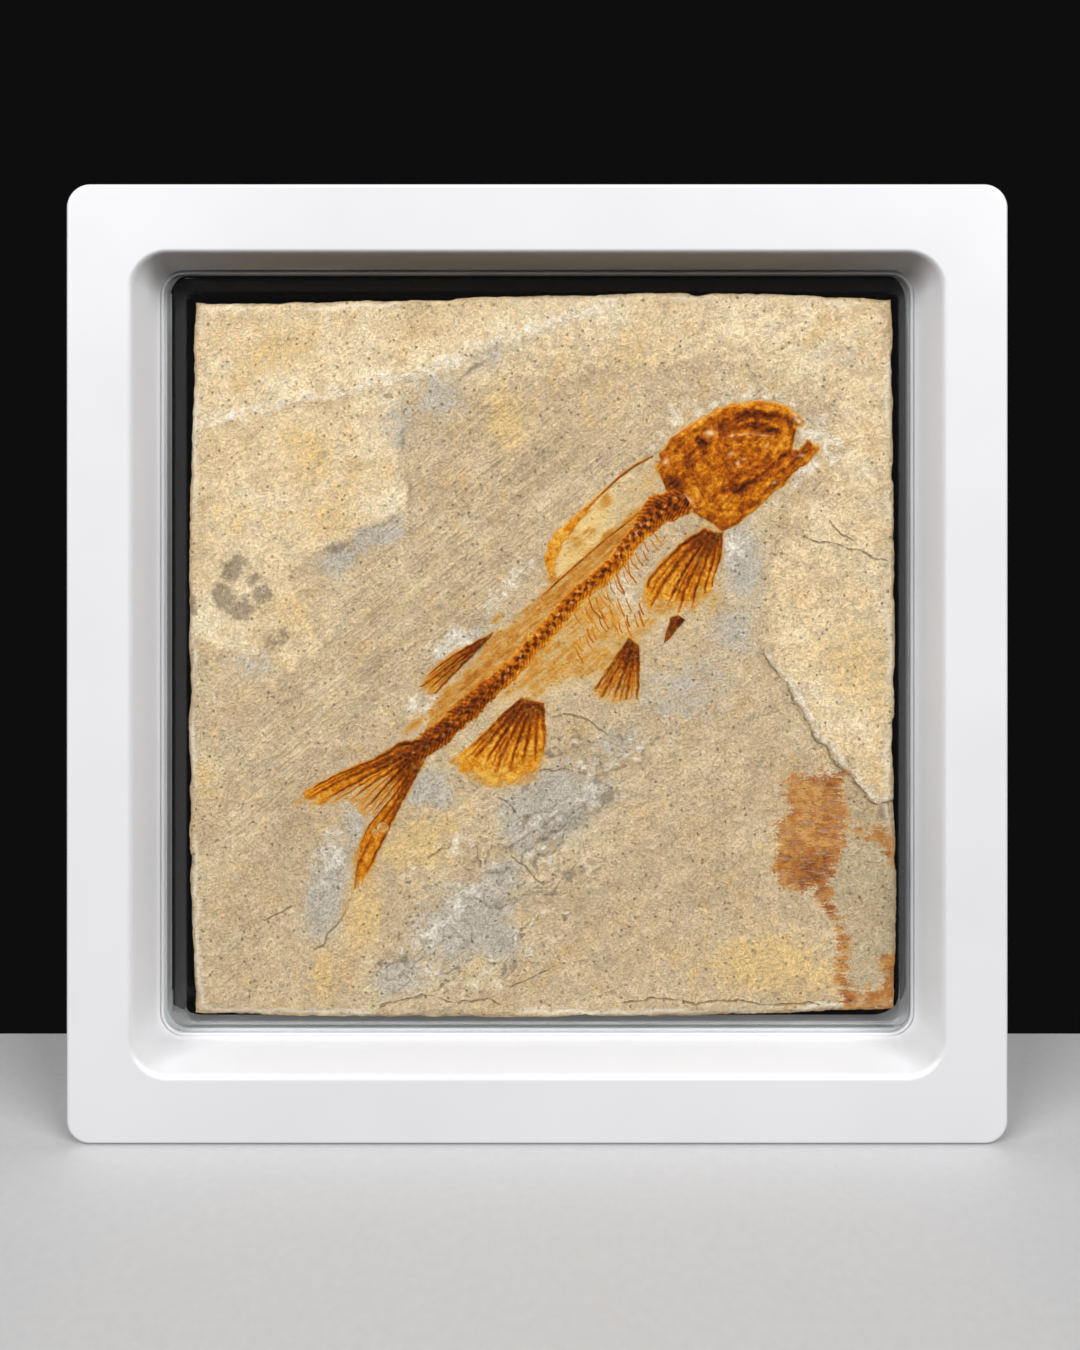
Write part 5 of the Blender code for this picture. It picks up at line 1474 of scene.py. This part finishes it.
    scored = add("Math", {0: scores, 1: field["scored"]}, operation="MULTIPLY")
    relief = add("Math", {0: grain, 1: 0.55}, operation="MULTIPLY")
    for height, weight in (
        (mottle, 0.55), (ridges, 0.45), (dots, -0.3), (cracks_and_shadows, -0.5),
        (nicks, -0.25), (bright, 0.15), (scored, 0.55),
    ):
        part = add("Math", {0: height, 1: weight}, operation="MULTIPLY")
        relief = add("Math", {0: relief, 1: part}, operation="ADD")
    grit = add("Bump", {"Height": relief, "Strength": 1.0, "Distance": 1.0 * MM})
    shader = add(
        "BsdfPrincipled",
        {"Base Color": colour, "Roughness": 0.9, "IOR": 1.49, "Specular IOR Level": 0.08, "Normal": grit},
    )
    add("OutputMaterial", {"Surface": shader})
    return material


def fossil_bone():
    """Bone and fin rays turned to brown apatite, with amber iron stain in the web between them: crusty,
    almost black where the bone is thickest, and yellow where only a film of it is left."""
    material, add = new_material("iron stained fossil bone")
    place = add("TexCoord", out="Object")
    field = {name: add("Attribute", out="Fac", attribute_name=name) for name in ("tone", "fade", "cream")}
    mottle = add("TexNoise", {"Vector": place, "Scale": per_metre(1.6), "Detail": 6.0, "Roughness": 0.72})
    crust = add(
        "TexNoise",
        {"Vector": place, "Scale": per_metre(0.6), "Detail": 4.0, "Roughness": 0.7, "Distortion": 0.6},
    )
    tone = field["tone"]
    for pattern, low, high, wander in ((mottle, 0.30, 0.70, 0.17), (crust, 0.32, 0.68, 0.13)):
        part = add("MapRange", {"Value": pattern, 1: low, 2: high, 3: -wander, 4: wander}, **SOFT)
        tone = add("Math", {0: tone, 1: part}, operation="ADD")
    colour = add("ValToRGB", {"Fac": tone}, stops=[
        (0.0, "361606"), (0.18, "5C2606"), (0.38, "873C06"),
        (0.58, "B35C07"), (0.78, "D38517"), (1.0, "E6B04C"),
    ])
    pale_patch = add("MapRange", {"Value": mottle, 1: 0.3, 2: 0.6, 3: 0.5, 4: 1.0}, **SOFT)
    pale_patch = add("Math", {0: field["cream"], 1: pale_patch}, operation="MULTIPLY")
    colour = add("Mix", {0: pale_patch, 6: colour, 7: linear("F0CF98")}, **BLEND)
    edge_share = add("MapRange", {"Value": mottle, 1: 0.35, 2: 0.65, 3: -0.35, 4: 0.35}, **SOFT)
    edge_share = add("Math", {0: field["fade"], 1: edge_share}, operation="ADD")
    edge_share = add("MapRange", {"Value": edge_share, 1: 0.1, 2: 0.8, 3: 0.35, 4: 0.0}, **SOFT)
    colour = add("Mix", {0: edge_share, 6: colour, 7: linear("DE9F38")}, **BLEND)
    gloss = add("MapRange", {"Value": field["tone"], 1: 0.1, 2: 0.9, 3: 0.5, 4: 0.75}, **SOFT)
    relief = add("Math", {0: crust, 1: 0.6}, operation="MULTIPLY")
    relief = add("Math", {0: relief, 1: mottle}, operation="ADD")
    grit = add("Bump", {"Height": relief, "Strength": 0.9, "Distance": 0.35 * MM})
    shader = add(
        "BsdfPrincipled",
        {"Base Color": colour, "Roughness": gloss, "IOR": 1.55, "Specular IOR Level": 0.07, "Normal": grit},
    )
    add("OutputMaterial", {"Surface": shader})
    return material


def pale_floor():
    """Plain matt board under the frame."""
    material, add = new_material("pale matt board")
    place = add("TexCoord", out="Object")
    fibre = add("TexNoise", {"Vector": place, "Scale": per_metre(2), "Detail": 3.0})
    tint = add("ValToRGB", {"Fac": fibre}, stops=[(0.3, "CFCFD0"), (0.7, "D3D3D4")])
    shader = add("BsdfPrincipled", {"Base Color": tint, "Roughness": 0.7, "IOR": 1.45})
    add("OutputMaterial", {"Surface": shader})
    return material


# ---------------------------------------------------------------- putting it together


def finish_piece(obj, material, slot, *nodes):
    """Give a piece its material, let it ride with the object, and hide the parts of model.glb that it takes
    the place of.
    """
    obj.data.materials.clear()
    obj.data.materials.append(material)
    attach(obj, "root")
    if nodes:
        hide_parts(*nodes)


plastic, film, stone, bone = white_plastic(), clear_film(), limestone(), fossil_bone()
finish_piece(frame_moulding("front_moulding", -1), plastic, "white_plastic", "front_frame")
finish_piece(frame_moulding("back_moulding", 1), plastic, "white_plastic", "back_frame")
finish_piece(film_sheet("front_sheet", -1), film, "clear_film", "front_film")
finish_piece(film_sheet("back_sheet", 1), film, "clear_film", "back_film")
finish_piece(stone_slab(), stone, "limestone", "fossil_slab")
for piece in fish():
    finish_piece(piece, bone, "fossil_bone")

# Floor: it ends close behind the frame, so that the gap round the slab looks into the dark.
deselect_all()
FLOOR_FRONT, FLOOR_BACK, FLOOR_HALF_WIDTH = -0.34, 0.030, 0.30
bpy.ops.mesh.primitive_plane_add(size=1, location=(0, (FLOOR_FRONT + FLOOR_BACK) / 2, 0))
floor = bpy.context.object
floor.name = floor.data.name = "floor_board"
floor.scale = (2 * FLOOR_HALF_WIDTH, FLOOR_BACK - FLOOR_FRONT, 1)
bpy.ops.object.transform_apply(location=True, rotation=True, scale=True)
floor.data.materials.append(pale_floor())
floor.visible_diffuse = floor.visible_glossy = floor.visible_transmission = False


MIDDLE = (0.0, 0.0, FRAME_HALF_H)


def soft_light(name, place, size, watts):
    """A square soft light that faces the frame's middle."""
    light = bpy.data.lights.new(name, "AREA")
    light.shape = "RECTANGLE"
    light.size = light.size_y = size
    light.energy = watts
    lamp = bpy.data.objects.new(name, light)
    bpy.context.scene.collection.objects.link(lamp)
    lamp.location = place
    heading = np.array(MIDDLE) - np.array(place)
    flat = math.hypot(heading[0], heading[1])
    lamp.rotation_euler = (math.atan2(flat, -heading[2]), 0, math.atan2(-heading[0], heading[1]))
    lamp.visible_camera = lamp.visible_transmission = False
    return lamp


soft_light("left softbox", place=(-1.12, -1.12, 0.95), size=1.0, watts=26.5)
soft_light("right softbox", place=(1.12, -1.12, 0.95), size=1.0, watts=28.0)
# Straight behind, so that it lights the back but only grazes the walls of the gap round the slab.
rear_fill = soft_light("rear softbox", place=(0.0, 1.8, FRAME_HALF_H), size=0.35, watts=10.0)
rear_fill.visible_glossy = False

world = bpy.data.worlds.new("dark studio")
world.use_nodes = True
world.node_tree.nodes["Background"].inputs["Color"].default_value = linear("0E0E0F")
bpy.context.scene.world = world
bpy.context.scene.view_settings.view_transform = "Standard"

# Close in front and level, above the frame's middle, and shifted down so that the frame's sides stay upright.
camera_data = bpy.data.cameras.new("camera")
camera_data.lens = 29.0
camera_data.shift_y = -0.1848
camera = bpy.data.objects.new("camera", camera_data)
bpy.context.scene.collection.objects.link(camera)
camera.location = (0.0006, -0.24305, 0.1527)
camera.rotation_euler = (math.radians(90), 0, 0)
bpy.context.scene.camera = camera
